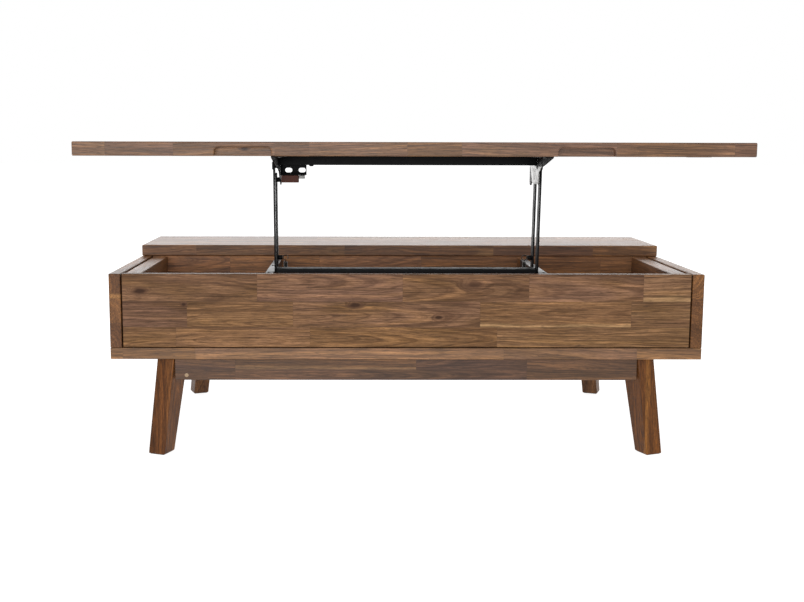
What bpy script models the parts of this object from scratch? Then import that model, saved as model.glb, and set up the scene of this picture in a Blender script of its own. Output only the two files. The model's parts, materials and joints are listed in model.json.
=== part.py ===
"""Lift top coffee table, modelled with the lift top raised.

Units are metres, +Z is up and +X is to the right of someone facing the front.
The origin is on the floor, under the middle of the raised table's box.
Every wooden part sits on the carcass sizes below; the lifting frame takes its
arm length from the room inside the carcass, so both keep fitting each other.
"""

import math

import bmesh
import bpy
from mathutils import Matrix, Vector

# ---------------------------------------------------------------- carcass
LENGTH = 1.200            # overall, along X
DEPTH = 0.600             # overall with the top down, along Y
LEG_HEIGHT = 0.200        # floor to the underside of the bottom panel
CARCASS_HEIGHT = 0.1742   # bottom panel's underside to the rim
TOP_THICK = 0.025         # both top slabs
LID_DEPTH = 0.354         # the slab that lifts, front to back
TOP_JOINT_GAP = 0.0025    # between the two slabs with the top down
PANEL = 0.0235            # side and bottom panels
FRONT_THICK = 0.020
BACK_THICK = 0.018
CROSS_THICK = 0.018       # board behind the lifting frame
CROSS_SETBACK = 0.002     # its front face behind the fixed slab's front edge
SHADOW_GAP = 0.003        # front panel to side panel
FRONT_LIFT = 0.0018       # front panel above the bottom panel
TOUCH = 0.0003            # between two pieces that rest on each other
LID_GAP = 0.0008          # rim to the lifting slab when it is down

RAIL_WIDTH = 0.0305
RAIL_HEIGHT = 0.045
RAIL_GAP = 0.0055         # rail to side panel
RAIL_DROP = 0.0015        # rail's top below the rim
RAIL_END_GAP = 0.003      # rail to the cross board
DIVIDER_THICK = 0.012
DIVIDER_DROP = 0.004      # divider's top below the rim

NOTCH_WIDTH = 0.100       # finger notches under the lifting slab's front edge
NOTCH_HEIGHT = 0.016
NOTCH_DEPTH = 0.015
NOTCH_CORNER = 0.008
NOTCH_PLACE = 0.3015      # notch centre from the middle of the table
PAD_LENGTH = 0.041        # thin stop pad under the slab
PAD_DEPTH = 0.012
PAD_THICK = 0.0004
PAD_GAP = 0.0001          # pad to slab
PAD_INSET = 0.079         # pad's outer end from the table's end
PAD_SETBACK = 0.004       # pad behind the slab's front edge

# ---------------------------------------------------------------- legs
LEG_TURN = math.radians(22.0)   # the leg's front face, turned outwards
LEG_INSET_X = 0.091             # outer front corner at the top, from the end
LEG_INSET_Y = 0.020             # and from the front
LEG_FACE_TOP = 0.0385
LEG_FACE_FOOT = 0.0375
LEG_DEEP_TOP = 0.060
LEG_DEEP_FOOT = 0.041
LEG_SPLAY_ALONG = 0.0152        # foot moves this far along the front face
LEG_SPLAY_OUT = 0.0185          # and this far out of it
GLIDE_THICK = 0.001
GLIDE_INSET = 0.003
APRON_HEIGHT = 0.0446
APRON_THICK = 0.020
APRON_FRONT_INSET = 0.0075      # front and back aprons, behind the carcass face
APRON_SIDE_INSET = 0.120        # side aprons, from the table's end
APRON_LEG_GAP = 0.0006

# ---------------------------------------------------------------- lifting frame
ARM_THICK = 0.003
ARM_WIDTH = 0.025
ARM_PLACE = 0.2656              # arms' inner faces from the middle
ARM_FRONT_CLEAR = 0.0121        # front arm's end behind the front panel
ARM_REAR_CLEAR = 0.0015         # folded rear arm's end to the cross board
FRONT_ARM_PAST = 0.004          # front arm's top end, past its round about the pivot
REAR_ARM_PAST = 0.002           # and the rear arm's
ARM_SPACING_Y = 0.062           # rear pivots behind the front pivots
ARM_SPACING_Z = 0.030           # and below them
FRONT_PIVOT_DROP = 0.0192       # front base pivot below the rim
RAISED_LEAN = math.radians(4.9)   # raised arms lean forward of upright
CLOSED_DIP = math.radians(0.5)    # folded arms dip below level

BRACKET_THICK = 0.0024          # base brackets, folded steel
BRACKET_HEIGHT = 0.110
BRACKET_FLANGE = 0.0161
BRACKET_FLANGE_THICK = 0.0025
BRACKET_DROP = 0.0012           # flange's top below the rim
BRACKET_FRONT_GAP = 0.0035      # bracket behind the front panel
BRACKET_REAR_GAP = 0.0585       # and ahead of the cross board
BRACKET_GAP = 0.0028            # bracket to arm, filled by a washer

PIN_RADIUS = 0.003
PIN_CLEAR = 0.00025             # pin in a hole that turns on it
PIN_FIT = 0.00025               # pin in a hole that holds it
WASHER_RADIUS = 0.006
BASE_HEAD_RADIUS = 0.005
BASE_HEAD_THICK = 0.002
TOP_HEAD_RADIUS = 0.008
TOP_HEAD_THICK = 0.002
RUN_GAP = 0.0003                # between faces that slide past each other

LOWER_BAR = 0.020               # square cross bar between the front arms
LOWER_BAR_WALL = 0.0015
LOWER_BAR_UP = 0.017            # its centre along the arm from the base pivot
UPPER_BAR_DEPTH = 0.020         # cross bar between the top brackets
UPPER_BAR_HEIGHT = 0.0175
UPPER_BAR_AHEAD = 0.0145        # its front face ahead of the top pivot

WEB_THICK = 0.0025              # top brackets' upright plates
WEB_GAP = 0.0064                # plate to arm, filled by the pivot's shoulder
WEB_NOSE = 0.192                # tip ahead of the front top pivot
WEB_NOSE_HEIGHT = 0.003
WEB_TAPER = 0.102               # the tip's slope reaches full height over this
WEB_HEIGHT = 0.020              # below the slab, where the slope ends
WEB_TAIL = 0.010                # plate behind the rear top pivot
LOBE_RADIUS = 0.0105            # plate's round edge under each top pivot
FRONT_LOBE_SPAN = (math.radians(225.0), math.radians(300.0))
REAR_LOBE_SPAN = (math.radians(200.0), math.radians(340.0))
WEB_FLANGE = 0.022
WEB_FLANGE_THICK = 0.0025
WEB_FLANGE_TAIL = 0.012         # flange behind the front top pivot

SLOT_BRACKET_WIDTH = 0.0530     # slotted angle on the left top bracket
SLOT_BRACKET_HEIGHT = 0.0415
SLOT_BRACKET_THICK = 0.002
SLOT_BRACKET_BEHIND = 0.0255    # behind the front top pivot
SLOT_LIP = 0.010
SLOT_LENGTH = 0.0145
SLOT_HEIGHT = 0.0093
SLOT_DROP = 0.0313              # slots' centres below the slab
SLOT_FIRST = 0.0170             # first slot's centre from the plate
SLOT_PITCH = 0.0272
BUMPER_LENGTH = 0.0358
BUMPER_HEIGHT = 0.0144
BUMPER_DEPTH = 0.012
BUMPER_INSET = 0.0019
CLIP_LENGTH = 0.012
CLIP_HEIGHT = 0.0065
CLIP_DEPTH = 0.009

ZINC_THICK = 0.0015             # pressed plate inside the right top bracket
ZINC_AHEAD = 0.007              # its rear top corner ahead of the rear top pivot
ZINC_TOP_LENGTH = 0.142
ZINC_FOOT_AHEAD = 0.024         # foot's rear end ahead of the rear top corner
ZINC_FOOT_LENGTH = 0.082
ZINC_HEIGHT = 0.0362
ZINC_HIP = 0.0135               # the front edge turns down this far below the top
ZINC_CORNER = 0.009
ZINC_NOTCH_WIDTH = 0.032        # V notch in the top edge
ZINC_NOTCH_DEPTH = 0.008
ZINC_NOTCH_BACK = 0.054         # notch centre behind the front top corner
ZINC_SLOT_WIDTH = 0.0028
ZINC_SLOT_LENGTH = 0.006
ZINC_SLOTS = ((0.40, 0.27), (0.60, 0.27), (0.50, 0.74))   # shares of foot and height

TAB_UP = 0.073                  # spring tab along the rear arm
TAB_RADIUS = 0.00475
TAB_LENGTH = 0.0086
SPRING_RADIUS = 0.0040
SPRING_WIRE = 0.0009
SPRING_HOOK = 0.00525
SPRING_SPLIT = 0.0250           # upper half's lower end, from the base pivot
SPRING_SPLIT_GAP = 0.0008
ANCHOR_RADIUS = 0.0025
ANCHOR_DROP = 0.046             # anchor pin below the rear base pivot
ANCHOR_HOOK = 0.0045
HOOK_TURN = math.radians(310.0)
HOOK_STEPS = 24
HOOK_STEM = 0.0015              # bare wire between the hook and the coil
COIL_SHOULDER = 0.0006          # over which the coil narrows to bare wire

CUTTER_PAST = 0.004             # how far a cutter reaches past a face
HUB_SIZE = 0.02
SHARP = math.radians(40.0)      # edges sharper than this stay hard
ROUND_SIDES = 20
ARC_STEPS = 8
LOBE_STEPS = 4


def leg_plan(z):
    """Corners of the front left leg at a height, measured from the carcass's
    front left corner: outer front, inner front, inner rear and outer rear."""
    t = (LEG_HEIGHT - z) / LEG_HEIGHT
    along = Vector((math.cos(LEG_TURN), -math.sin(LEG_TURN)))
    inward = Vector((math.sin(LEG_TURN), math.cos(LEG_TURN)))
    corner = Vector((LEG_INSET_X, LEG_INSET_Y))
    corner = corner - along * LEG_SPLAY_ALONG * t - inward * LEG_SPLAY_OUT * t
    face = LEG_FACE_TOP + (LEG_FACE_FOOT - LEG_FACE_TOP) * t
    deep = LEG_DEEP_TOP + (LEG_DEEP_FOOT - LEG_DEEP_TOP) * t
    return [corner, corner + along * face, corner + along * face + inward * deep,
            corner + inward * deep]


# ---------------------------------------------------------------- worked out
LEG_BOTTOM = GLIDE_THICK + TOUCH
FOOT_OVERHANG = max(0.0, -min(p.y for p in leg_plan(LEG_BOTTOM)))
RIM = LEG_HEIGHT + CARCASS_HEIGHT
FLOOR_TOP = LEG_HEIGHT + PANEL
HALF = LENGTH / 2
INSIDE = HALF - PANEL
CROSS_FRONT = LID_DEPTH + TOP_JOINT_GAP + CROSS_SETBACK
ROOM = CROSS_FRONT - FRONT_THICK
ARM_LENGTH = (ROOM - ARM_FRONT_CLEAR - ARM_WIDTH - ARM_SPACING_Y
              - REAR_ARM_PAST - ARM_REAR_CLEAR) / math.cos(CLOSED_DIP)
LIFT_FORWARD = ARM_LENGTH * (math.cos(CLOSED_DIP) + math.sin(RAISED_LEAN))
LIFT_UP = ARM_LENGTH * (math.cos(RAISED_LEAN) + math.sin(CLOSED_DIP))
FRONT = -(DEPTH + FOOT_OVERHANG - LIFT_FORWARD) / 2   # the carcass's front face
BACK = FRONT + DEPTH

SLAB_UNDER = RIM + LID_GAP + LIFT_UP
LID_FRONT = FRONT - LIFT_FORWARD
FRONT_BASE = Vector((0.0, FRONT + FRONT_THICK + ARM_FRONT_CLEAR + ARM_WIDTH / 2,
                     RIM - FRONT_PIVOT_DROP))
ARM_UP = Vector((0.0, -math.sin(RAISED_LEAN), math.cos(RAISED_LEAN)))
REAR_STEP = Vector((0.0, ARM_SPACING_Y, -ARM_SPACING_Z))
FRONT_TOP = FRONT_BASE + ARM_UP * ARM_LENGTH
REAR_BASE = FRONT_BASE + REAR_STEP
REAR_TOP = FRONT_TOP + REAR_STEP
ANCHOR = REAR_BASE - ARM_UP * ANCHOR_DROP   # the springs' lower pins

ARM_OUTER = ARM_PLACE + ARM_THICK
BRACKET_INNER = ARM_OUTER + BRACKET_GAP
BRACKET_OUTER = BRACKET_INNER + BRACKET_THICK
DIVIDER_INNER = BRACKET_OUTER + TOUCH
WEB_OUTER = ARM_PLACE - WEB_GAP
WEB_INNER = WEB_OUTER - WEB_THICK

LEFT, RIGHT = -1.0, 1.0
SIDES = (("left", LEFT), ("right", RIGHT))

# ---------------------------------------------------------------- finishes
FINISHES = {
    "wood": ((0.165, 0.092, 0.050, 1.0), 0.55, 0.0),
    "wood_inside": ((0.120, 0.062, 0.036, 1.0), 0.60, 0.0),
    "black_steel": ((0.012, 0.012, 0.013, 1.0), 0.35, 0.6),
    "zinc": ((0.55, 0.54, 0.52, 1.0), 0.35, 1.0),
    "brown_rubber": ((0.080, 0.028, 0.023, 1.0), 0.70, 0.0),
    "felt": ((0.020, 0.018, 0.016, 1.0), 0.95, 0.0),
    "spring_steel": ((0.100, 0.095, 0.090, 1.0), 0.35, 1.0),
}


def clear_scene():
    for obj in list(bpy.data.objects):
        bpy.data.objects.remove(obj, do_unlink=True)


def finish(obj, name):
    """Gives an object a Principled BSDF of its own in the named finish."""
    colour, roughness, metallic = FINISHES[name]
    material = bpy.data.materials.new(obj.name + "_" + name)
    material.use_nodes = True
    shader = material.node_tree.nodes["Principled BSDF"]
    shader.inputs["Base Color"].default_value = colour
    shader.inputs["Roughness"].default_value = roughness
    shader.inputs["Metallic"].default_value = metallic
    material.diffuse_color = colour
    obj.data.materials.append(material)


def hub(name, place):
    """An empty on a joint's axis, which carries the pieces that turn about it."""
    empty = bpy.data.objects.new(name, None)
    empty.location = place
    empty.empty_display_size = HUB_SIZE
    bpy.context.collection.objects.link(empty)
    return empty


def link(name, data, place, look, carrier=None):
    """Puts mesh or curve data into the scene at a place in the world."""
    obj = bpy.data.objects.new(name, data)
    bpy.context.collection.objects.link(obj)
    obj.location = Vector(place)
    if carrier is not None:
        obj.parent = carrier
        obj.location = Vector(place) - carrier.location
    if look is not None:
        finish(obj, look)
    return obj


def mesh_of(name, points, faces):
    mesh = bpy.data.meshes.new(name)
    mesh.from_pydata([tuple(p) for p in points], [], faces)
    mesh.update()
    return mesh


def prism(name, low_ring, high_ring, look, carrier=None, place=(0.0, 0.0, 0.0)):
    """A closed solid between two rings of matching points, counter-clockwise
    as seen from the second ring's side."""
    origin = Vector(place)
    count = len(low_ring)
    points = [Vector(p) - origin for p in list(low_ring) + list(high_ring)]
    faces = [tuple(reversed(range(count))), tuple(range(count, 2 * count))]
    for i in range(count):
        j = (i + 1) % count
        faces.append((i, j, count + j, count + i))
    return link(name, mesh_of(name, points, faces), origin, look, carrier)


def block(name, low, high, look, carrier=None):
    """A plain board between two opposite corners."""
    middle = (Vector(low) + Vector(high)) / 2
    x0, y0, z0 = low
    x1, y1, z1 = high
    under = [(x0, y0, z0), (x1, y0, z0), (x1, y1, z0), (x0, y1, z0)]
    over = [(x, y, z1) for x, y, _ in under]
    return prism(name, under, over, look, carrier, middle)


def side_block(name, side, x_span, y_span, z_span, look, carrier=None):
    """A board given by its distances from the middle, on one side."""
    x0, x1 = sorted((side * x_span[0], side * x_span[1]))
    return block(name, (x0, y_span[0], z_span[0]), (x1, y_span[1], z_span[1]),
                 look, carrier)


def combine(piece, other, operation):
    """Applies a hidden helper solid to a piece with a Boolean modifier."""
    other.display_type = "WIRE"
    other.hide_render = True
    change = piece.modifiers.new(other.name, "BOOLEAN")
    change.operation = operation
    change.object = other


def weld(piece, other):
    combine(piece, other, "UNION")


def cut_away(piece, cutter):
    combine(piece, cutter, "DIFFERENCE")


def arc(centre, radius, start, end, steps=ARC_STEPS):
    """Points on a round stretch of a flat outline, both ends included."""
    cy, cz = centre
    return [(cy + radius * math.cos(start + (end - start) * i / steps),
             cz + radius * math.sin(start + (end - start) * i / steps))
            for i in range(steps + 1)]


def round_hole(centre, radius):
    return arc(centre, radius, 0.0, 2 * math.pi, ROUND_SIDES)[:-1]


def slot_hole(centre, length, height, upright=False):
    """An oval slot: two half circles joined by straight sides."""
    r = height / 2
    reach = length / 2 - r
    cy, cz = centre
    if upright:
        return (arc((cy, cz + reach), r, 0.0, math.pi)
                + arc((cy, cz - reach), r, math.pi, 2 * math.pi))
    return (arc((cy + reach, cz), r, -math.pi / 2, math.pi / 2)
            + arc((cy - reach, cz), r, math.pi / 2, 3 * math.pi / 2))


def sheet_mesh(name, outline, holes, thick):
    """A flat sheet with holes, cut from a filled two-dimensional curve and
    welded into one closed mesh. Its thickness is centred on local Z."""
    curve = bpy.data.curves.new(name + "_outline", "CURVE")
    curve.dimensions = "2D"
    curve.fill_mode = "BOTH"
    curve.extrude = thick / 2
    for loop in [outline] + list(holes):
        spline = curve.splines.new("POLY")
        spline.points.add(len(loop) - 1)
        for point, (a, b) in zip(spline.points, loop):
            point.co = (a, b, 0.0, 1.0)
        spline.use_cyclic_u = True
    carrier = bpy.data.objects.new(name + "_outline", curve)
    bpy.context.collection.objects.link(carrier)
    bpy.context.view_layer.update()
    graph = bpy.context.evaluated_depsgraph_get()
    mesh = bpy.data.meshes.new_from_object(carrier.evaluated_get(graph))
    bpy.data.objects.remove(carrier, do_unlink=True)
    work = bmesh.new()
    work.from_mesh(mesh)
    bmesh.ops.remove_doubles(work, verts=work.verts, dist=0.00001)
    bmesh.ops.recalc_face_normals(work, faces=work.faces)
    work.to_mesh(mesh)
    work.free()
    mesh.materials.clear()
    mesh.name = name
    return mesh


def upright_sheet(name, outline, holes, x_span, look, carrier=None):
    """A sheet in the YZ plane. Its outline and holes are (y, z) in the world."""
    x0, x1 = sorted(x_span)
    cy = sum(p[0] for p in outline) / len(outline)
    cz = sum(p[1] for p in outline) / len(outline)
    loops = [[(y - cy, z - cz) for y, z in loop] for loop in [outline] + list(holes)]
    mesh = sheet_mesh(name, loops[0], loops[1:], x1 - x0)
    turn = Matrix(((0, 0, 1, 0), (1, 0, 0, 0), (0, 1, 0, 0), (0, 0, 0, 1)))
    mesh.transform(turn)
    return link(name, mesh, ((x0 + x1) / 2, cy, cz), look, carrier)


def turned(name, stations, place, look, carrier=None):
    """A round piece about an X axis. Stations are (distance along X, radius),
    and a repeated distance makes a shoulder."""
    px, py, pz = place
    points = []
    for x, r in stations:
        for i in range(ROUND_SIDES):
            a = 2 * math.pi * i / ROUND_SIDES
            points.append((x, r * math.cos(a), r * math.sin(a)))
    n = ROUND_SIDES
    faces = [tuple(reversed(range(n)))]
    for s in range(len(stations) - 1):
        for i in range(n):
            j = (i + 1) % n
            faces.append((s * n + i, s * n + j, (s + 1) * n + j, (s + 1) * n + i))
    last = (len(stations) - 1) * n
    faces.append(tuple(range(last, last + n)))
    if stations[0][0] > stations[-1][0]:
        faces = [tuple(reversed(f)) for f in faces]
    mesh = mesh_of(name, points, faces)
    mesh.shade_smooth()
    mesh.set_sharp_from_angle(angle=SHARP)
    return link(name, mesh, (px, py, pz), look, carrier)


def mirrored(stations, side):
    return [(side * x, r) for x, r in stations]


def wire(name, points, radii, look, carrier=None):
    """A round wire along points, thick where its coil is wound close."""
    origin = Vector(points[0])
    curve = bpy.data.curves.new(name, "CURVE")
    curve.dimensions = "3D"
    curve.bevel_depth = 1.0
    curve.bevel_resolution = 2
    curve.use_fill_caps = True
    spline = curve.splines.new("POLY")
    spline.points.add(len(points) - 1)
    for point, place, radius in zip(spline.points, points, radii):
        point.co = (*(Vector(place) - origin), 1.0)
        point.radius = radius
    return link(name, curve, origin, look, carrier)


# ---------------------------------------------------------------- wood

def make_carcass():
    block("bottom_panel", (-HALF, FRONT, LEG_HEIGHT), (HALF, BACK, FLOOR_TOP), "wood")
    stand = FLOOR_TOP + TOUCH
    for label, side in SIDES:
        side_block("side_panel_" + label, side, (INSIDE, HALF), (FRONT, BACK),
                   (stand, RIM), "wood")
    front_half = INSIDE - SHADOW_GAP
    block("front_panel", (-front_half, FRONT, FLOOR_TOP + FRONT_LIFT),
          (front_half, FRONT + FRONT_THICK, RIM), "wood")
    back_half = INSIDE - TOUCH
    block("back_panel", (-back_half, BACK - BACK_THICK, stand),
          (back_half, BACK, RIM), "wood")
    cross = FRONT + CROSS_FRONT
    block("cross_divider", (-back_half, cross, stand),
          (back_half, cross + CROSS_THICK, RIM), "wood_inside")
    fixed_front = FRONT + LID_DEPTH + TOP_JOINT_GAP
    block("fixed_top", (-HALF, fixed_front, RIM + TOUCH),
          (HALF, BACK, RIM + TOUCH + TOP_THICK), "wood")


def make_inside():
    """Rails under the slab's ends and the boards beside the lifting frame."""
    start = FRONT + FRONT_THICK + TOUCH
    end = FRONT + CROSS_FRONT
    rail_outer = INSIDE - RAIL_GAP
    rail_top = RIM - RAIL_DROP
    divider_outer = DIVIDER_INNER + DIVIDER_THICK
    for label, side in SIDES:
        side_block("inner_rail_" + label, side, (rail_outer - RAIL_WIDTH, rail_outer),
                   (start, end - RAIL_END_GAP), (rail_top - RAIL_HEIGHT, rail_top),
                   "wood_inside")
        side_block("divider_" + label, side, (DIVIDER_INNER, divider_outer),
                   (start, end - TOUCH), (FLOOR_TOP + TOUCH, RIM - DIVIDER_DROP),
                   "wood_inside")


def leg_ring(z):
    """The front left leg's corners at a height, in the world."""
    return [Vector((p.x - HALF, p.y + FRONT, z)) for p in leg_plan(z)]


def shrink(ring, inset):
    middle = sum(ring, Vector()) / len(ring)
    return [p + (middle - p).normalized() * inset * math.sqrt(2) for p in ring]


def to_corner(ring, flip_x, flip_y):
    """Mirrors a ring to another corner and keeps its turning direction."""
    y_sum = FRONT + BACK
    moved = [Vector((-p.x if flip_x else p.x, y_sum - p.y if flip_y else p.y, p.z))
             for p in ring]
    return list(reversed(moved)) if flip_x != flip_y else moved


def make_legs():
    low, high = leg_ring(LEG_BOTTOM), leg_ring(LEG_HEIGHT - TOUCH)
    sole = shrink(leg_ring(0.0), GLIDE_INSET)
    pad = [Vector((p.x, p.y, GLIDE_THICK)) for p in sole]
    for row, flip_y in (("front", False), ("back", True)):
        for label, flip_x in (("left", False), ("right", True)):
            end = row + "_" + label
            for name, under, over, look in (("leg_" + end, low, high, "wood"),
                                            ("foot_glide_" + end, sole, pad, "felt")):
                under = to_corner(under, flip_x, flip_y)
                over = to_corner(over, flip_x, flip_y)
                middle = (sum(under, Vector()) + sum(over, Vector())) / (2 * len(under))
                prism(name, under, over, look, place=middle)


def along_edge(a, b, axis, value):
    """Where the line through a and b reaches a value on one axis."""
    t = (value - a[axis]) / (b[axis] - a[axis])
    return a + (b - a) * t


def make_aprons():
    outer_front, inner_front, inner_rear, outer_rear = leg_ring(LEG_HEIGHT)
    z0, z1 = LEG_HEIGHT - APRON_HEIGHT, LEG_HEIGHT - TOUCH
    y0 = FRONT + APRON_FRONT_INSET
    y1 = y0 + APRON_THICK
    x_near = along_edge(inner_front, inner_rear, 1, y0).x + APRON_LEG_GAP
    x_far = along_edge(inner_front, inner_rear, 1, y1).x + APRON_LEG_GAP
    flat = [(x_near, y0), (-x_near, y0), (-x_far, y1), (x_far, y1)]
    x0 = -HALF + APRON_SIDE_INSET
    x1 = x0 + APRON_THICK
    y_out = along_edge(inner_rear, outer_rear, 0, x0).y + APRON_LEG_GAP
    y_in = along_edge(inner_rear, outer_rear, 0, x1).y + APRON_LEG_GAP
    y_sum = FRONT + BACK
    flank = [(x0, y_out), (x1, y_in), (x1, y_sum - y_in), (x0, y_sum - y_out)]
    for name, plan, flip_x, flip_y in (("apron_front", flat, False, False),
                                       ("apron_back", flat, False, True),
                                       ("apron_left", flank, False, False),
                                       ("apron_right", flank, True, False)):
        under = to_corner([Vector((x, y, z0)) for x, y in plan], flip_x, flip_y)
        over = to_corner([Vector((x, y, z1)) for x, y in plan], flip_x, flip_y)
        middle = (sum(under, Vector()) + sum(over, Vector())) / (2 * len(under))
        prism(name, under, over, "wood", place=middle)


def make_lift_top(carrier):
    slab = block("lift_top", (-HALF, LID_FRONT, SLAB_UNDER),
                 (HALF, LID_FRONT + LID_DEPTH, SLAB_UNDER + TOP_THICK), "wood", carrier)
    for label, side in SIDES:
        cut_away(slab, notch_cutter("notch_" + label, side * NOTCH_PLACE, carrier))
    outer = HALF - PAD_INSET
    y0 = LID_FRONT + PAD_SETBACK
    side_block("stop_pad_right", RIGHT, (outer - PAD_LENGTH, outer), (y0, y0 + PAD_DEPTH),
               (SLAB_UNDER - PAD_GAP - PAD_THICK, SLAB_UNDER - PAD_GAP), "felt", carrier)


def notch_cutter(name, x_middle, carrier):
    """A bar with two rounded upper corners, past the slab's front and underside."""
    half = NOTCH_WIDTH / 2
    top = SLAB_UNDER + NOTCH_HEIGHT
    outline = [(-half, SLAB_UNDER - CUTTER_PAST), (half, SLAB_UNDER - CUTTER_PAST)]
    outline += arc((half - NOTCH_CORNER, top - NOTCH_CORNER), NOTCH_CORNER, 0.0, math.pi / 2)
    outline += arc((-half + NOTCH_CORNER, top - NOTCH_CORNER), NOTCH_CORNER,
                   math.pi / 2, math.pi)
    near = [Vector((x_middle + x, LID_FRONT - CUTTER_PAST, z)) for x, z in reversed(outline)]
    far = [Vector((p.x, LID_FRONT + NOTCH_DEPTH, p.z)) for p in near]
    return prism(name, near, far, None, carrier, near[0])


# ---------------------------------------------------------------- lifting frame

def flat(point):
    return (point.y, point.z)


def arm_outline(low, high, past):
    """A bar with round ends about its two pivots, a little longer at the top."""
    lean = math.atan2(high.z - low.z, high.y - low.y)
    half = ARM_WIDTH / 2
    end = flat(high + ARM_UP * past)
    return (arc(end, half, lean - math.pi / 2, lean + math.pi / 2)
            + arc(flat(low), half, lean + math.pi / 2, lean + 3 * math.pi / 2))


def make_base_brackets():
    top = RIM - BRACKET_DROP
    y0 = FRONT + FRONT_THICK + BRACKET_FRONT_GAP
    y1 = FRONT + CROSS_FRONT - BRACKET_REAR_GAP
    fit = PIN_RADIUS + PIN_FIT
    for label, side in SIDES:
        holes = [round_hole(flat(p), fit) for p in (FRONT_BASE, REAR_BASE)]
        holes.append(round_hole(flat(ANCHOR), ANCHOR_RADIUS + PIN_FIT))
        outline = [(y0, top - BRACKET_HEIGHT), (y1, top - BRACKET_HEIGHT), (y1, top), (y0, top)]
        plate = upright_sheet("base_bracket_" + label, outline, holes,
                              (side * BRACKET_INNER, side * BRACKET_OUTER), "black_steel")
        flange = side_block("flange_" + label, side,
                            (BRACKET_INNER + BRACKET_THICK / 2, BRACKET_OUTER + BRACKET_FLANGE
                             - BRACKET_THICK),
                            (y0, y1), (top - BRACKET_FLANGE_THICK, top), None)
        weld(plate, flange)


def make_base_pins():
    """Rivets fixed in the base brackets, on which the arms turn, and the pins
    that hold the springs' lower hooks."""
    fit = PIN_RADIUS
    stations = [(BRACKET_OUTER, fit), (BRACKET_INNER - RUN_GAP, fit),
                (BRACKET_INNER - RUN_GAP, WASHER_RADIUS),
                (ARM_OUTER + RUN_GAP, WASHER_RADIUS), (ARM_OUTER + RUN_GAP, fit),
                (ARM_PLACE - RUN_GAP, fit), (ARM_PLACE - RUN_GAP, BASE_HEAD_RADIUS),
                (ARM_PLACE - RUN_GAP - BASE_HEAD_THICK, BASE_HEAD_RADIUS)]
    reach = spring_line() - SPRING_WIRE - ANCHOR_RADIUS
    for label, side in SIDES:
        for row, place in (("front", FRONT_BASE), ("rear", REAR_BASE)):
            turned("base_pivot_" + row + "_" + label, mirrored(stations, side),
                   (0.0, place.y, place.z), "black_steel")
        pin = [(BRACKET_OUTER, ANCHOR_RADIUS), (reach, ANCHOR_RADIUS)]
        turned("spring_anchor_" + label, mirrored(pin, side),
               (0.0, ANCHOR.y, ANCHOR.z), "black_steel")


def make_arms(front_hub, rear_hubs):
    turn_hole = PIN_RADIUS + PIN_CLEAR
    held_hole = PIN_RADIUS + PIN_FIT
    for label, side in SIDES:
        span = (side * ARM_PLACE, side * ARM_OUTER)
        upright_sheet("front_arm_" + label, arm_outline(FRONT_BASE, FRONT_TOP, FRONT_ARM_PAST),
                      [round_hole(flat(FRONT_BASE), turn_hole),
                       round_hole(flat(FRONT_TOP), held_hole)],
                      span, "black_steel", front_hub)
        upright_sheet("rear_arm_" + label, arm_outline(REAR_BASE, REAR_TOP, REAR_ARM_PAST),
                      [round_hole(flat(REAR_BASE), turn_hole),
                       round_hole(flat(REAR_TOP), turn_hole)],
                      span, "black_steel", rear_hubs[label])
    make_lower_bar(front_hub)
    make_top_pins(front_hub)


def make_lower_bar(carrier):
    """Square tube with open ends, square to the arms."""
    centre = FRONT_BASE + ARM_UP * LOWER_BAR_UP
    across = Vector((0.0, ARM_UP.z, -ARM_UP.y))
    half = LOWER_BAR / 2
    wall = LOWER_BAR_WALL

    def square(reach):
        return [flat(centre + across * a * reach + ARM_UP * b * reach)
                for a, b in ((-1, -1), (1, -1), (1, 1), (-1, 1))]

    end = ARM_PLACE - TOUCH
    upright_sheet("lower_cross_bar", square(half), [square(half - wall)],
                  (-end, end), "black_steel", carrier)


def make_top_pins(carrier):
    """Rivets fixed in the front arms; the top brackets turn on their tails."""
    stations = [(ARM_OUTER + TOUCH + TOP_HEAD_THICK, TOP_HEAD_RADIUS),
                (ARM_OUTER + TOUCH, TOP_HEAD_RADIUS), (ARM_OUTER + TOUCH, PIN_RADIUS),
                (ARM_PLACE - TOUCH, PIN_RADIUS), (ARM_PLACE - TOUCH, BASE_HEAD_RADIUS),
                (WEB_OUTER + RUN_GAP, BASE_HEAD_RADIUS), (WEB_OUTER + RUN_GAP, PIN_RADIUS),
                (WEB_INNER, PIN_RADIUS)]
    for label, side in SIDES:
        turned("top_pivot_front_" + label, mirrored(stations, side),
               (0.0, FRONT_TOP.y, FRONT_TOP.z), "black_steel", carrier)


def make_rear_top_pins(carrier):
    """Rivets fixed in the top brackets; the rear arms turn on them."""
    stations = [(ARM_OUTER + RUN_GAP + TOP_HEAD_THICK, BASE_HEAD_RADIUS),
                (ARM_OUTER + RUN_GAP, BASE_HEAD_RADIUS), (ARM_OUTER + RUN_GAP, PIN_RADIUS),
                (ARM_PLACE - RUN_GAP, PIN_RADIUS), (ARM_PLACE - RUN_GAP, BASE_HEAD_RADIUS),
                (WEB_OUTER + TOUCH, BASE_HEAD_RADIUS), (WEB_OUTER + TOUCH, PIN_RADIUS),
                (WEB_INNER, PIN_RADIUS)]
    for label, side in SIDES:
        turned("top_pivot_rear_" + label, mirrored(stations, side),
               (0.0, REAR_TOP.y, REAR_TOP.z), "black_steel", carrier)


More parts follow.
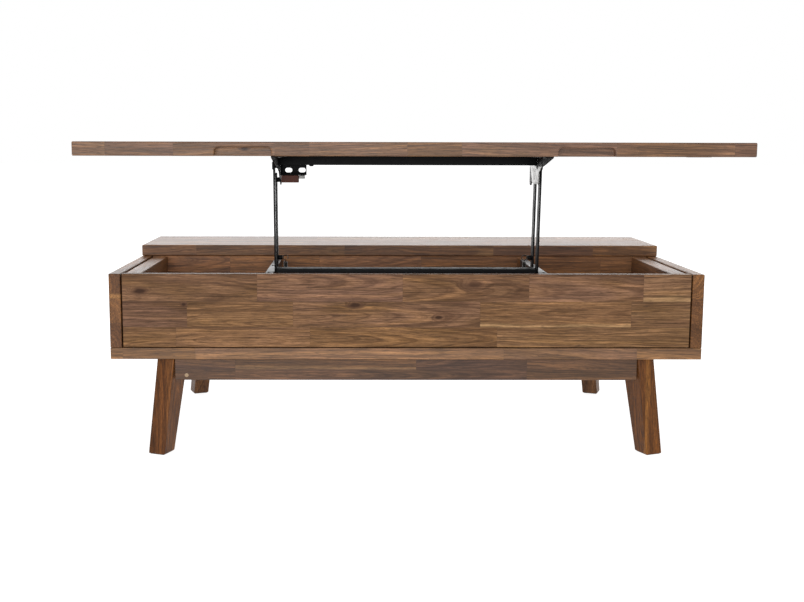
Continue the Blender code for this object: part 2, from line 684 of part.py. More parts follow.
def make_top_brackets(carrier):
    """Plates under the lifting slab: a long low nose in front, and a lobe that
    reaches down round the rear pivot."""
    top = SLAB_UNDER - TOUCH
    nose = FRONT_TOP.y - WEB_NOSE
    tail = REAR_TOP.y + WEB_TAIL
    outline = [(nose, top), (nose, top - WEB_NOSE_HEIGHT),
               (nose + WEB_TAPER, top - WEB_HEIGHT)]
    outline += arc(flat(FRONT_TOP), LOBE_RADIUS, *FRONT_LOBE_SPAN, LOBE_STEPS)
    outline += arc(flat(REAR_TOP), LOBE_RADIUS, *REAR_LOBE_SPAN)
    outline += [(tail, REAR_TOP.z + LOBE_RADIUS), (tail, top)]
    flange_end = FRONT_TOP.y + WEB_FLANGE_TAIL
    for label, side in SIDES:
        holes = [round_hole(flat(FRONT_TOP), PIN_RADIUS + PIN_CLEAR),
                 round_hole(flat(REAR_TOP), PIN_RADIUS + PIN_FIT)]
        plate = upright_sheet("top_bracket_" + label, list(reversed(outline)), holes,
                              (side * WEB_INNER, side * WEB_OUTER), "black_steel", carrier)
        flange = side_block("top_flange_" + label, side,
                            (WEB_INNER - WEB_FLANGE, WEB_INNER + WEB_THICK / 2),
                            (nose, flange_end), (top - WEB_FLANGE_THICK, top), None, carrier)
        weld(plate, flange)


def make_upper_bar(carrier):
    end = WEB_INNER - TOUCH
    y0 = FRONT_TOP.y - UPPER_BAR_AHEAD
    top = SLAB_UNDER - TOUCH - WEB_FLANGE_THICK - TOUCH
    block("upper_cross_bar", (-end, y0, top - UPPER_BAR_HEIGHT),
          (end, y0 + UPPER_BAR_DEPTH, top), "black_steel", carrier)


def make_left_fittings(carrier):
    """A slotted angle on the left top bracket, with a rubber bumper under its
    lip and a small zinc clip beside it."""
    x1 = -(WEB_INNER - TOUCH)
    x0 = x1 + SLOT_BRACKET_WIDTH
    top = SLAB_UNDER - TOUCH
    low = top - SLOT_BRACKET_HEIGHT
    y0 = FRONT_TOP.y + SLOT_BRACKET_BEHIND
    y1 = y0 + SLOT_BRACKET_THICK
    thick = SLOT_BRACKET_THICK
    profile = [(y1, low), (y1, top), (y0, top), (y0, low + thick),
               (y0 - SLOT_LIP, low + thick), (y0 - SLOT_LIP, low)]
    bracket = prism("slotted_bracket", [Vector((x1, y, z)) for y, z in profile],
                    [Vector((x0, y, z)) for y, z in profile], "black_steel", carrier,
                    (x1, y0, low))
    for i in range(2):
        centre = (x1 + SLOT_FIRST + SLOT_PITCH * i, top - SLOT_DROP)
        hole = slot_hole(centre, SLOT_LENGTH, SLOT_HEIGHT)
        near = [Vector((x, y0 - thick, z)) for x, z in reversed(hole)]
        far = [Vector((p.x, y1 + thick, p.z)) for p in near]
        cut_away(bracket, prism(f"slot_{i}", near, far, None, carrier, near[0]))
    bumper_x = x1 + BUMPER_INSET
    bumper_top = low - TOUCH
    block("bumper_block", (bumper_x, y0 - SLOT_LIP, bumper_top - BUMPER_HEIGHT),
          (bumper_x + BUMPER_LENGTH, y0 - SLOT_LIP + BUMPER_DEPTH, bumper_top),
          "brown_rubber", carrier)
    clip_x = bumper_x + BUMPER_LENGTH + TOUCH
    block("zinc_clip", (clip_x, y0 - SLOT_LIP, bumper_top - CLIP_HEIGHT),
          (clip_x + CLIP_LENGTH, y0 - SLOT_LIP + CLIP_DEPTH, bumper_top), "zinc", carrier)


def make_zinc_plate(carrier):
    """A pressed plate on the right top bracket's inner face, under the bar."""
    top = SLAB_UNDER - TOUCH - WEB_FLANGE_THICK - UPPER_BAR_HEIGHT - 2 * TOUCH
    low = top - ZINC_HEIGHT
    rear = REAR_TOP.y - ZINC_AHEAD
    front = rear - ZINC_TOP_LENGTH
    foot1 = rear - ZINC_FOOT_AHEAD
    foot0 = foot1 - ZINC_FOOT_LENGTH
    notch = front + ZINC_NOTCH_BACK
    r = ZINC_CORNER
    outline = [(front, top), (foot0, top - ZINC_HIP)]
    outline += arc((foot0 + r, low + r), r, math.pi, math.pi * 1.5)
    outline += arc((foot1 - r, low + r), r, math.pi * 1.5, math.pi * 2)
    outline += [(rear, top), (notch + ZINC_NOTCH_WIDTH / 2, top),
                (notch, top - ZINC_NOTCH_DEPTH), (notch - ZINC_NOTCH_WIDTH / 2, top)]
    holes = [slot_hole((foot0 + ZINC_FOOT_LENGTH * along, top - ZINC_HEIGHT * down),
                       ZINC_SLOT_LENGTH, ZINC_SLOT_WIDTH, upright=True)
             for along, down in ZINC_SLOTS]
    x1 = WEB_INNER - TOUCH
    upright_sheet("zinc_plate_right", outline, holes,
                  (x1 - ZINC_THICK, x1), "zinc", carrier)


# ---------------------------------------------------------------- springs

def spring_line():
    """The springs' distance from the middle: their hooks just clear the tabs."""
    return ARM_PLACE - TOUCH - TAB_LENGTH - TOUCH - SPRING_WIRE - SPRING_HOOK


def hook(middle, start, across):
    """Points round an open wire hook, from its start direction."""
    angles = [HOOK_TURN * i / HOOK_STEPS for i in range(HOOK_STEPS + 1)]
    return [middle + start * math.cos(a) + across * math.sin(a) for a in angles]


def make_springs(rear_hubs):
    """Each spring's upper half turns with the rear arm and its lower half stays
    on the base; both lie on one line while the top is raised."""
    tab = REAR_BASE + ARM_UP * TAB_UP
    split = REAR_BASE + ARM_UP * SPRING_SPLIT
    x = spring_line()
    stem = 2 * SPRING_WIRE + HOOK_STEM
    fore = Vector((0.0, ARM_UP.z, -ARM_UP.y))
    tab_stations = [(ARM_PLACE - TOUCH, TAB_RADIUS),
                    (ARM_PLACE - TOUCH - TAB_LENGTH, TAB_RADIUS)]
    radii = [SPRING_RADIUS, SPRING_RADIUS] + [SPRING_WIRE] * (HOOK_STEPS + 2)
    for label, side in SIDES:
        turned("spring_tab_" + label, mirrored(tab_stations, side),
               (0.0, tab.y, tab.z), "black_steel", rear_hubs[label])
        upper = Vector((side * x, tab.y, tab.z))
        lower = Vector((side * x, ANCHOR.y, ANCHOR.z))
        middle = Vector((side * x, split.y, split.z))

        shoulder = upper - ARM_UP * (SPRING_HOOK + stem)
        points = [middle, shoulder, shoulder + ARM_UP * COIL_SHOULDER]
        points += hook(upper, -ARM_UP * SPRING_HOOK, Vector((side * SPRING_HOOK, 0.0, 0.0)))
        wire("spring_upper_" + label, points, radii, "spring_steel", rear_hubs[label])

        shoulder = lower + ARM_UP * (ANCHOR_HOOK + stem)
        points = [middle - ARM_UP * SPRING_SPLIT_GAP, shoulder,
                  shoulder - ARM_UP * COIL_SHOULDER]
        points += hook(lower, ARM_UP * ANCHOR_HOOK, fore * ANCHOR_HOOK)
        wire("spring_lower_" + label, points, radii, "spring_steel")


def main():
    clear_scene()
    front_hub = hub("lift_axis", FRONT_BASE)
    rear_hubs = {label: hub("rear_axis_" + label, REAR_BASE) for label, _ in SIDES}
    lid_hub = hub("lid_axis", FRONT_TOP)
    make_carcass()
    make_inside()
    make_legs()
    make_aprons()
    make_lift_top(lid_hub)
    make_base_brackets()
    make_base_pins()
    make_arms(front_hub, rear_hubs)
    make_rear_top_pins(lid_hub)
    make_top_brackets(lid_hub)
    make_upper_bar(lid_hub)
    make_left_fittings(lid_hub)
    make_zinc_plate(lid_hub)
    make_springs(rear_hubs)


main()
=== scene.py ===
"""Looks of the lift top coffee table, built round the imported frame.

The carcass, legs and slabs are oiled acacia, glued up from staves. The lifting
frame is powder-coated steel with a few zinc-plated fittings. Every piece takes
its place from the frame's own nodes, in metres, with +Z up.
"""
from __future__ import annotations

import json
import logging
import math
from collections.abc import Iterable
from dataclasses import dataclass
from enum import Enum
from random import Random

import bmesh
import bpy
from mathutils import Matrix, Vector

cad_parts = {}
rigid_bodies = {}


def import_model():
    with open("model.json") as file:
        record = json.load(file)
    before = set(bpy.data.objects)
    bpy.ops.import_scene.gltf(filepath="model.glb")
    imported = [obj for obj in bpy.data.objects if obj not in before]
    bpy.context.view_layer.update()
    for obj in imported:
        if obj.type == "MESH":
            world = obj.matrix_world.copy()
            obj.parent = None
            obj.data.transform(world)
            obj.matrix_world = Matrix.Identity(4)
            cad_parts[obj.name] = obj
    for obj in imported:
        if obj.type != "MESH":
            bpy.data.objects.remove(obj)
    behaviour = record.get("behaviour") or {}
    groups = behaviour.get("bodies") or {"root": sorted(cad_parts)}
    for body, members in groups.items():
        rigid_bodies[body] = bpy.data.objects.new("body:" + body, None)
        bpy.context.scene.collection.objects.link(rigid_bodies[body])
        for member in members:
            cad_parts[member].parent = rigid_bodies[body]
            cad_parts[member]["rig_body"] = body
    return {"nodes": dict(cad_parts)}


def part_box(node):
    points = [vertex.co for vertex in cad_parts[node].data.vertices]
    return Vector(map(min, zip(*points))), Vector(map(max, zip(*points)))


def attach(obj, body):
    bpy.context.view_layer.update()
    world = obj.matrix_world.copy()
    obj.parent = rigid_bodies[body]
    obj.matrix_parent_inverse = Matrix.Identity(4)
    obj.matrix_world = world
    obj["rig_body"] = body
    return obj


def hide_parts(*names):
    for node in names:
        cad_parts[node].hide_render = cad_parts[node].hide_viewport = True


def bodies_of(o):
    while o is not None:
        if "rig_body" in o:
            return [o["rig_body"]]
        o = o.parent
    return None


LOG = logging.getLogger("coffee_table")
FLAT_AREA = 0.0001        # faces larger than this are shaded flat
ROUND_FACE = 8            # and so are faces with more corners than this
SHARP_ANGLE = 30.0        # edges sharper than this are rounded over, in degrees
SMOOTH_ANGLE = 40.0       # edges sharper than this stay hard, in degrees
EASED_ANGLE = 50.0        # and on pieces with rounded edges, sharper than this
FLAT_ANGLE = 0.5          # faces that differ by less than this are one flat, in degrees
WELD = 0.000005           # vertices closer than this are one
CUT_SLACK = 0.00001       # vertices this near to a cut lie on it

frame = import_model()

Colour = tuple[float, float, float, float]
Place = tuple[float, float, float]
Tint = tuple[float, float, float]
SIDES: tuple[tuple[str, float], ...] = (("left", -1.0), ("right", 1.0))


class Grain(Enum):
    """Which way a board's grain runs, then its width, then its thickness."""

    LENGTH_FLAT = ("X", "Y", "Z")
    LENGTH_UPRIGHT = ("X", "Z", "Y")
    DEPTH_UPRIGHT = ("Y", "Z", "X")
    POST = ("Z", "X", "Y")


# ------------------------------------------------------------------ node graph


@dataclass
class Graph:
    """A node tree with short methods for the nodes used here."""

    tree: bpy.types.NodeTree

    def add(self, kind: str, **settings: object) -> bpy.types.Node:
        """Adds a node.

        Args:
            kind: the node's type name.
            settings: properties to set on it.

        Returns:
            The new node.
        """
        node = self.tree.nodes.new(kind)
        for key, value in settings.items():
            setattr(node, key, value)
        return node

    def put(self, value: object, socket: bpy.types.NodeSocket) -> None:
        """Links a socket to another, or sets its constant.

        Args:
            value: a constant, or the socket to link from.
            socket: the socket that takes it.
        """
        if isinstance(value, bpy.types.NodeSocket):
            self.tree.links.new(value, socket)
        else:
            socket.default_value = value

    def math(self, operation: str, a: object, b: object = 0.0,
             c: object = 0.0) -> bpy.types.NodeSocket:
        """One scalar operation.

        Args:
            operation: the Math node's operation.
            a: first value or socket.
            b: second value or socket.
            c: third value or socket, where the operation has one.

        Returns:
            The result's socket.
        """
        node = self.add("ShaderNodeMath", operation=operation)
        for value, socket in zip((a, b, c), node.inputs):
            self.put(value, socket)
        return node.outputs[0]

    def vector(self, x: object, y: object, z: object) -> bpy.types.NodeSocket:
        """A vector from three values or sockets.

        Args:
            x: its first part.
            y: its second part.
            z: its third part.

        Returns:
            The vector's socket.
        """
        node = self.add("ShaderNodeCombineXYZ")
        for value, socket in zip((x, y, z), node.inputs):
            self.put(value, socket)
        return node.outputs[0]

    def vector_math(self, operation: str, a: object,
                    b: object = (0.0, 0.0, 0.0)) -> bpy.types.NodeSocket:
        """One vector operation.

        Args:
            operation: the Vector Math node's operation.
            a: first vector or socket.
            b: second vector or socket.

        Returns:
            The result's socket.
        """
        node = self.add("ShaderNodeVectorMath", operation=operation)
        self.put(a, node.inputs[0])
        self.put(b, node.inputs[1])
        return node.outputs["Value" if operation == "LENGTH" else "Vector"]

    def remap(self, value: object, low: float, high: float, to_low: float = 0.0,
              to_high: float = 1.0) -> bpy.types.NodeSocket:
        """Maps a range onto another, smoothly and clamped.

        Args:
            value: the socket to map.
            low: where the result is to_low.
            high: where the result is to_high.
            to_low: result at low.
            to_high: result at high.

        Returns:
            The mapped socket.
        """
        node = self.add("ShaderNodeMapRange", interpolation_type="SMOOTHSTEP")
        for name, given in (("Value", value), ("From Min", low), ("From Max", high),
                            ("To Min", to_low), ("To Max", to_high)):
            self.put(given, node.inputs[name])
        return node.outputs["Result"]

    def noise(self, vector: object, scale: float, detail: float, roughness: float,
              distortion: float = 0.0) -> bpy.types.NodeSocket:
        """A noise texture's value at a vector.

        Args:
            vector: the point, as a socket.
            scale: how fast the noise changes.
            detail: how many finer layers it has.
            roughness: how strong the finer layers are.
            distortion: how much it is bent.

        Returns:
            The value's socket.
        """
        node = self.add("ShaderNodeTexNoise")
        for name, given in (("Vector", vector), ("Scale", scale), ("Detail", detail),
                            ("Roughness", roughness), ("Distortion", distortion)):
            self.put(given, node.inputs[name])
        return node.outputs[0]

    def mix(self, share: object, a: object, b: object,
            blend: str = "MIX") -> bpy.types.NodeSocket:
        """A colour mix.

        Args:
            share: how much of b.
            a: first colour or socket.
            b: second colour or socket.
            blend: the blend mode.

        Returns:
            The mixed colour's socket.
        """
        node = self.add("ShaderNodeMix", data_type="RGBA", blend_type=blend)
        self.put(share, node.inputs[0])
        self.put(a, node.inputs[6])
        self.put(b, node.inputs[7])
        return node.outputs[2]

    def over(self, colour: object, mask: object, share: float,
             coat: object) -> bpy.types.NodeSocket:
        """Lays a second colour over the first where a mask shows, up to a share."""
        return self.mix(self.math("MULTIPLY", mask, share), colour, coat)

    def toned(self, colour: object, tone: object) -> bpy.types.NodeSocket:
        """A colour multiplied by a plain tone."""
        return self.mix(1.0, colour, self.vector(tone, tone, tone), "MULTIPLY")

    def swing(self, value: object, reach: float) -> bpy.types.NodeSocket:
        """Turns a value from 0 to 1 into one to either side of zero."""
        return self.math("MULTIPLY", self.math("SUBTRACT", value, 0.5), reach)

    def split(self, vector: bpy.types.NodeSocket) -> tuple[bpy.types.NodeSocket, ...]:
        """A vector's three parts.

        Args:
            vector: the vector's socket.

        Returns:
            The sockets of its parts.
        """
        node = self.add("ShaderNodeSeparateXYZ")
        self.put(vector, node.inputs[0])
        return tuple(node.outputs)

    def ramp(self, value: object, stops: tuple[tuple[float, Colour], ...]
             ) -> bpy.types.NodeSocket:
        """A colour ramp.

        Args:
            value: the place on the ramp, from 0 to 1.
            stops: its places and colours, in order.

        Returns:
            The colour's socket.
        """
        node = self.add("ShaderNodeValToRGB")
        elements = node.color_ramp.elements
        while len(elements) < len(stops):
            elements.new(0.5)
        for element, (place, colour) in zip(elements, stops):
            element.position = place
            element.color = colour
        self.put(value, node.inputs[0])
        return node.outputs[0]

    def relief(self, height: bpy.types.NodeSocket, strength: float, depth: float,
               shader: bpy.types.Node) -> None:
        """Gives a shader a relief.

        Args:
            height: the height's socket.
            strength: how strongly it shows.
            depth: how deep a height of 1 is.
            shader: the shader that takes it.
        """
        node = self.add("ShaderNodeBump")
        for name, given in (("Strength", strength), ("Distance", depth), ("Height", height)):
            self.put(given, node.inputs[name])
        self.put(node.outputs[0], shader.inputs["Normal"])


def grey(value: float) -> Colour:
    """A grey as a colour."""
    return (value, value, value, 1.0)


def new_material(name: str) -> tuple[bpy.types.Material, Graph, bpy.types.Node]:
    """A new material.

    Args:
        name: its name.

    Returns:
        The material, its graph and its shader.
    """
    material = bpy.data.materials.new(name)
    material.use_nodes = True
    return material, Graph(material.node_tree), material.node_tree.nodes["Principled BSDF"]


# ------------------------------------------------------------------ finishes


@dataclass(frozen=True)
class Streaks:
    """A noise that is drawn out along the grain.

    Attributes:
        along: how fast it changes along the grain.
        across: how fast it changes across the grain and through the board.
        detail: how many finer layers it has.
        roughness: how strong the finer layers are.
        distortion: how much it is bent.
    """

    along: float
    across: float
    detail: float
    roughness: float
    distortion: float = 0.0

    def drawn(self, g: Graph, spot: bpy.types.NodeSocket) -> bpy.types.NodeSocket:
        """The noise's value at a point."""
        stretched = g.vector_math("MULTIPLY", spot, (self.along, self.across, self.across))
        return g.noise(stretched, 1.0, self.detail, self.roughness, self.distortion)


WANDER = Streaks(4.5, 24.0, 3.0, 0.55)
CLOUD = Streaks(5.0, 17.0, 3.0, 0.55)
FIBRE = Streaks(16.0, 520.0, 4.0, 0.65, 0.2)
BANDS = Streaks(8.0, 210.0, 4.0, 0.7, 0.3)
FLECKS = Streaks(34.0, 430.0, 2.0, 0.6)
PORES = Streaks(70.0, 1300.0, 1.0, 0.5)

WARM_TONES: tuple[tuple[float, Colour], ...] = (
    (0.0, (0.075, 0.034, 0.013, 1.0)), (0.5, (0.158, 0.080, 0.034, 1.0)),
    (1.0, (0.270, 0.152, 0.068, 1.0)))
PLUM_TONES: tuple[tuple[float, Colour], ...] = (
    (0.0, (0.066, 0.030, 0.018, 1.0)), (0.5, (0.142, 0.074, 0.044, 1.0)),
    (1.0, (0.240, 0.138, 0.084, 1.0)))
DARK_FACTOR: Colour = (0.40, 0.36, 0.36, 1.0)
GOLD_FACTOR: Colour = (1.62, 1.58, 1.36, 1.0)
SAPWOOD: Colour = (0.350, 0.205, 0.092, 1.0)
PORE_BROWN: Colour = (0.040, 0.024, 0.016, 1.0)
KNOT_RING: Colour = (0.072, 0.034, 0.019, 1.0)
KNOT_HEART: Colour = (0.026, 0.012, 0.007, 1.0)
GLUE_BROWN: Colour = (0.050, 0.030, 0.020, 1.0)


@dataclass(frozen=True)
class Figure:
    """The figure of oiled acacia on one stave.

    Growth rings are shells about a trunk's axis that lies near the stave, so a
    flat cut shows arches and a steep one shows lines.

    Attributes:
        jump_scale: how far the noises jump from one stave to the next.
        stave_width: a stave's width, as the rings see it.
        trunk_side: how far to the side the trunk's axis can lie.
        trunk_depth: how far below the board it can lie.
        trunk_least: and how far below at the least.
        trunk_lean: how steeply it can lean against the board.
        wander: how far the rings wander.
        knot_push: how far a knot pushes the rings out.
        broad_rings: how close the broad rings are, and their change along.
        fine_rings: how close the fine rings are, and their change along.
        sap_share: staves whose kind is above this have sapwood on one edge.
        glue_scale: a stave's width, as its glue lines see it.
        glue_sides: where a glue line along the stave starts and is full.
        glue_ends: the same for one across it.
    """

    jump_scale: tuple[float, float, float] = (9.0, 7.0, 5.0)
    stave_width: float = 0.052
    trunk_side: float = 0.055
    trunk_depth: float = 0.040
    trunk_least: float = 0.006
    trunk_lean: float = 0.20
    wander: float = 0.022
    knot_push: float = 0.016
    broad_rings: tuple[float, float] = (130.0, 1.6)
    fine_rings: tuple[float, float] = (520.0, 4.0)
    sap_share: float = 0.62
    glue_scale: float = 0.05
    glue_sides: tuple[float, float] = (0.0007, 0.0002)
    glue_ends: tuple[float, float] = (0.0009, 0.0003)

    def ring(self, g: Graph, given: bpy.types.NodeOutputs, moved: bpy.types.NodeSocket
             ) -> bpy.types.NodeSocket:
        """How far a point lies from the trunk's axis.

        Args:
            g: the group's graph.
            given: the group's inputs.
            moved: the point in the noises' own space.

        Returns:
            The distance's socket.
        """
        through = g.split(given["Vector"])[2]
        aside, lean, below = g.split(given["Jump"])
        along, across, _ = g.split(given["Stave"])
        side = g.math("ADD", g.swing(across, self.stave_width), g.swing(aside, self.trunk_side))
        side = g.math("ADD", side, g.swing(WANDER.drawn(g, moved), self.wander))
        depth = g.math("ADD", through,
                       g.math("MULTIPLY_ADD", below, self.trunk_depth, self.trunk_least))
        depth = g.math("ADD", depth, g.math("MULTIPLY", along, g.swing(lean, self.trunk_lean)))
        ring = g.math("SQRT", g.math("ADD", g.math("MULTIPLY", side, side),
                                     g.math("MULTIPLY", depth, depth)))
        return g.math("ADD", ring, g.math("MULTIPLY", given["Knot"], self.knot_push))

    def ringed(self, g: Graph, given: bpy.types.NodeOutputs, ring: bpy.types.NodeSocket,
               base: bpy.types.NodeSocket, dark: bpy.types.NodeSocket) -> bpy.types.NodeSocket:
        """The wood's colour with its broad and fine rings.

        Args:
            g: the group's graph.
            given: the group's inputs.
            ring: how far the point lies from the trunk's axis.
            base: the colour between rings.
            dark: the colour of dark rings.

        Returns:
            The colour's socket.
        """
        u = g.split(given["Vector"])[0]
        aside, lean, _ = g.split(given["Jump"])
        gold = g.mix(1.0, base, GOLD_FACTOR, "MULTIPLY")
        broad, fine = (
            g.noise(g.vector(g.math("MULTIPLY", ring, close), g.math("MULTIPLY", u, slow), start),
                    1.0, detail, roughness)
            for (close, slow), start, detail, roughness in (
                (self.broad_rings, aside, 2.0, 0.5), (self.fine_rings, lean, 3.0, 0.6)))
        colour = g.over(base, g.remap(broad, 0.58, 0.36), 0.42, dark)
        colour = g.over(colour, g.remap(broad, 0.52, 0.72), 0.62, gold)
        colour = g.over(colour, g.remap(fine, 0.54, 0.36), 0.56, dark)
        return g.over(colour, g.remap(fine, 0.56, 0.72), 0.45, gold)

    def group(self) -> bpy.types.NodeTree:
        """The figure as a node group, made once and shared.

        The vector's x runs along the grain, y across it and z through the board.

        Returns:
            The group, with Colour, Roughness and Height outputs.
        """
        found = bpy.data.node_groups.get("acacia_stave")
        if found:
            return found
        tree = bpy.data.node_groups.new("acacia_stave", "ShaderNodeTree")
        for way, sockets in (
                ("INPUT", (("Vector", "Vector"), ("Mark", "Vector"), ("Jump", "Vector"),
                           ("Stave", "Vector"), ("Knot", "Float"), ("Tint", "Color"))),
                ("OUTPUT", (("Colour", "Color"), ("Roughness", "Float"), ("Height", "Float")))):
            for name, kind in sockets:
                tree.interface.new_socket(name, in_out=way, socket_type="NodeSocket" + kind)
        g = Graph(tree)
        given = g.add("NodeGroupInput").outputs
        tone, hue, kind = g.split(given["Mark"])
        along, across, _ = g.split(given["Stave"])
        knot = given["Knot"]
        moved = g.vector_math("ADD", given["Vector"],
                              g.vector_math("MULTIPLY", given["Jump"], self.jump_scale))
        cloud, fibre = CLOUD.drawn(g, moved), FIBRE.drawn(g, moved)

        warm, plum = g.ramp(tone, WARM_TONES), g.ramp(tone, PLUM_TONES)
        base = g.mix(g.math("MULTIPLY", hue, g.remap(cloud, 0.22, 0.58)), warm, plum)
        dark = g.mix(1.0, base, DARK_FACTOR, "MULTIPLY")
        colour = self.ringed(g, given, self.ring(g, given, moved), base, dark)

        # sapwood along one edge of some staves
        rim = g.math("ADD", across, g.swing(cloud, 0.5))
        pale = g.math("MULTIPLY", g.remap(rim, 0.20, 0.08),
                      g.math("GREATER_THAN", kind, self.sap_share))
        colour = g.over(colour, pale, 0.55, SAPWOOD)

        # fibre, bands and clouds lighten and darken it
        shade = g.remap(fibre, 0.28, 0.72, 0.56, 1.46)
        shade = g.math("MULTIPLY", shade,
                       g.remap(BANDS.drawn(g, moved), 0.30, 0.70, 0.74, 1.24))
        shade = g.math("MULTIPLY", shade, g.remap(cloud, 0.30, 0.70, 0.86, 1.14))
        colour = g.toned(colour, shade)
        pore = g.remap(PORES.drawn(g, moved), 0.56, 0.68)
        colour = g.over(colour, pore, 0.55, PORE_BROWN)
        colour = g.over(colour, g.remap(FLECKS.drawn(g, moved), 0.56, 0.72), 0.50, dark)
        colour = g.over(colour, g.remap(knot, 0.10, 0.60), 0.62, KNOT_RING)
        colour = g.over(colour, g.remap(knot, 0.50, 0.90), 0.85, KNOT_HEART)

        # glue lines round the stave
        edge = g.math("MINIMUM", across, g.math("SUBTRACT", 1.0, across))
        edge = g.math("MULTIPLY", edge, self.glue_scale)
        seam = g.math("MAXIMUM", g.remap(edge, *self.glue_sides),
                      g.remap(along, *self.glue_ends))
        colour = g.over(colour, seam, 0.45, GLUE_BROWN)

        made = g.add("NodeGroupOutput").inputs
        g.put(g.mix(1.0, colour, given["Tint"], "MULTIPLY"), made["Colour"])
        g.put(g.remap(fibre, 0.3, 0.7, 0.38, 0.50), made["Roughness"])
        g.put(g.math("SUBTRACT", g.math("MULTIPLY", fibre, 0.5),
                     g.math("MULTIPLY", g.math("MAXIMUM", pore, seam), 0.6)), made["Height"])
        return tree


@dataclass(frozen=True)
class Knot:
    """A knot in a board, placed in the table's own frame.

    Attributes:
        place: its centre.
        reach: how far it bends the figure, along and across the grain.
        strength: how dark its heart is.
        deep: how far it goes through the board, or 0.0 for right through.
    """

    place: Place
    reach: tuple[float, float] = (0.022, 0.011)
    strength: float = 1.0
    deep: float = 0.0


@dataclass(frozen=True)
class Acacia:
    """Oiled acacia on one board.

    Attributes:
        grain: how the board is cut.
        tint: multiplies the wood's colour.
        knots: its knots.
        gloss: strength of its mirror reflection.
        ripple: how much a knot's outline ripples.
        ripple_scale: how close the ripples are.
        knot_fade: where a knot starts and is full, in its own reach.
        relief: how deep the grain's relief is.
    """

    grain: Grain
    tint: Tint = (1.0, 1.0, 1.0)
    knots: tuple[Knot, ...] = ()
    gloss: float = 0.30
    ripple: float = 0.35
    ripple_scale: tuple[float, float, float] = (60.0, 120.0, 0.0)
    knot_fade: tuple[float, float] = (1.15, 0.15)
    relief: float = 0.0004

    def turned(self, place: Place) -> Vector:
        """A place in the order along the grain, across it and through the board."""
        return Vector(place["XYZ".index(axis)] for axis in self.grain.value)

    def knot_field(self, g: Graph, spot: bpy.types.NodeSocket,
                   middle: Vector) -> bpy.types.NodeSocket | float:
        """How near a point is to a knot, from 0 to 1.

        Args:
            g: the material's graph.
            spot: the point, along, across and through the board.
            middle: the board's middle in the same order.

        Returns:
            The field's socket, or zero for a board without knots.
        """
        field: bpy.types.NodeSocket | float = 0.0
        for knot in self.knots:
            offset = self.turned(knot.place) - middle
            away = g.vector_math("SUBTRACT", spot, tuple(offset))
            through = 1.0 / knot.deep if knot.deep else 0.0
            scale = (1.0 / knot.reach[0], 1.0 / knot.reach[1], through)
            length = g.vector_math("LENGTH", g.vector_math("MULTIPLY", away, scale))
            ripple = g.noise(g.vector_math("MULTIPLY", away, self.ripple_scale), 1.0, 2.0, 0.5)
            length = g.math("ADD", length, g.math("MULTIPLY", ripple, self.ripple))
            near = g.math("MULTIPLY", g.remap(length, *self.knot_fade), knot.strength)
            field = near if isinstance(field, float) else g.math("MAXIMUM", field, near)
        return field

    def material(self, name: str, middle: Vector, shade: float = 1.0) -> bpy.types.Material:
        """Builds the material.

        Args:
            name: the board's name.
            middle: the board's middle.
            shade: multiplies the tint, for painted light on rounded edges and painted shade in the
                finger notches.

        Returns:
            The material.
        """
        material, g, shader = new_material(name + "_acacia")
        parts = g.split(g.add("ShaderNodeTexCoord").outputs["Object"])
        turned = g.vector(*(parts["XYZ".index(axis)] for axis in self.grain.value))
        centre = self.turned(tuple(middle))
        spot = g.vector_math("SUBTRACT", turned, tuple(centre))
        group = g.add("ShaderNodeGroup", node_tree=Figure().group())
        g.put(spot, group.inputs["Vector"])
        for name_in, attribute in (("Mark", "stave_mark"), ("Jump", "stave_jump")):
            node = g.add("ShaderNodeAttribute", attribute_name=attribute)
            g.put(node.outputs["Vector"], group.inputs[name_in])
        g.put(g.add("ShaderNodeUVMap", uv_map="stave").outputs[0], group.inputs["Stave"])
        g.put(self.knot_field(g, spot, centre), group.inputs["Knot"])
        group.inputs["Tint"].default_value = (*(c * shade for c in self.tint), 1.0)
        g.put(group.outputs["Colour"], shader.inputs["Base Color"])
        g.put(group.outputs["Roughness"], shader.inputs["Roughness"])
        shader.inputs["Specular IOR Level"].default_value = self.gloss
        g.relief(group.outputs["Height"], 0.30, self.relief, shader)
        return material


@dataclass(frozen=True)
class Coating:
    """A painted, plated or moulded surface with a fine texture.

    Attributes:
        name: the finish's name.
        colour: its base colour.
        roughness: mean roughness.
        metallic: how metallic it is.
        mottle: how much its shade varies.
        grain_size: size of the fine texture.
        relief: depth of the fine texture.
        specular: strength of its mirror reflection.
        patches: how fast its shade varies.
        rough_swing: how much its roughness varies.
    """

    name: str
    colour: Colour
    roughness: float
    metallic: float
    mottle: float = 0.15
    grain_size: float = 0.0006
    relief: float = 0.00003
    specular: float = 0.5
    patches: float = 55.0
    rough_swing: float = 0.12

    def material(self) -> bpy.types.Material:
        """The finish's material, made once and shared.

        Returns:
            The material.
        """
        found = bpy.data.materials.get(self.name)
        if found:
            return found
        material, g, shader = new_material(self.name)
        place = g.add("ShaderNodeTexCoord").outputs["Object"]
        patch = g.noise(place, self.patches, 4.0, 0.6)
        tone = g.remap(patch, 0.3, 0.7, 1.0 - self.mottle, 1.0 + self.mottle)
        g.put(g.toned(self.colour, tone), shader.inputs["Base Color"])
        g.put(g.remap(patch, 0.3, 0.7, self.roughness * (1.0 - self.rough_swing),
                      self.roughness * (1.0 + self.rough_swing)), shader.inputs["Roughness"])
        shader.inputs["Metallic"].default_value = self.metallic
        shader.inputs["Specular IOR Level"].default_value = self.specular
        g.relief(g.noise(place, 1.0 / self.grain_size, 2.0, 0.5), 0.35, self.relief, shader)
        return material


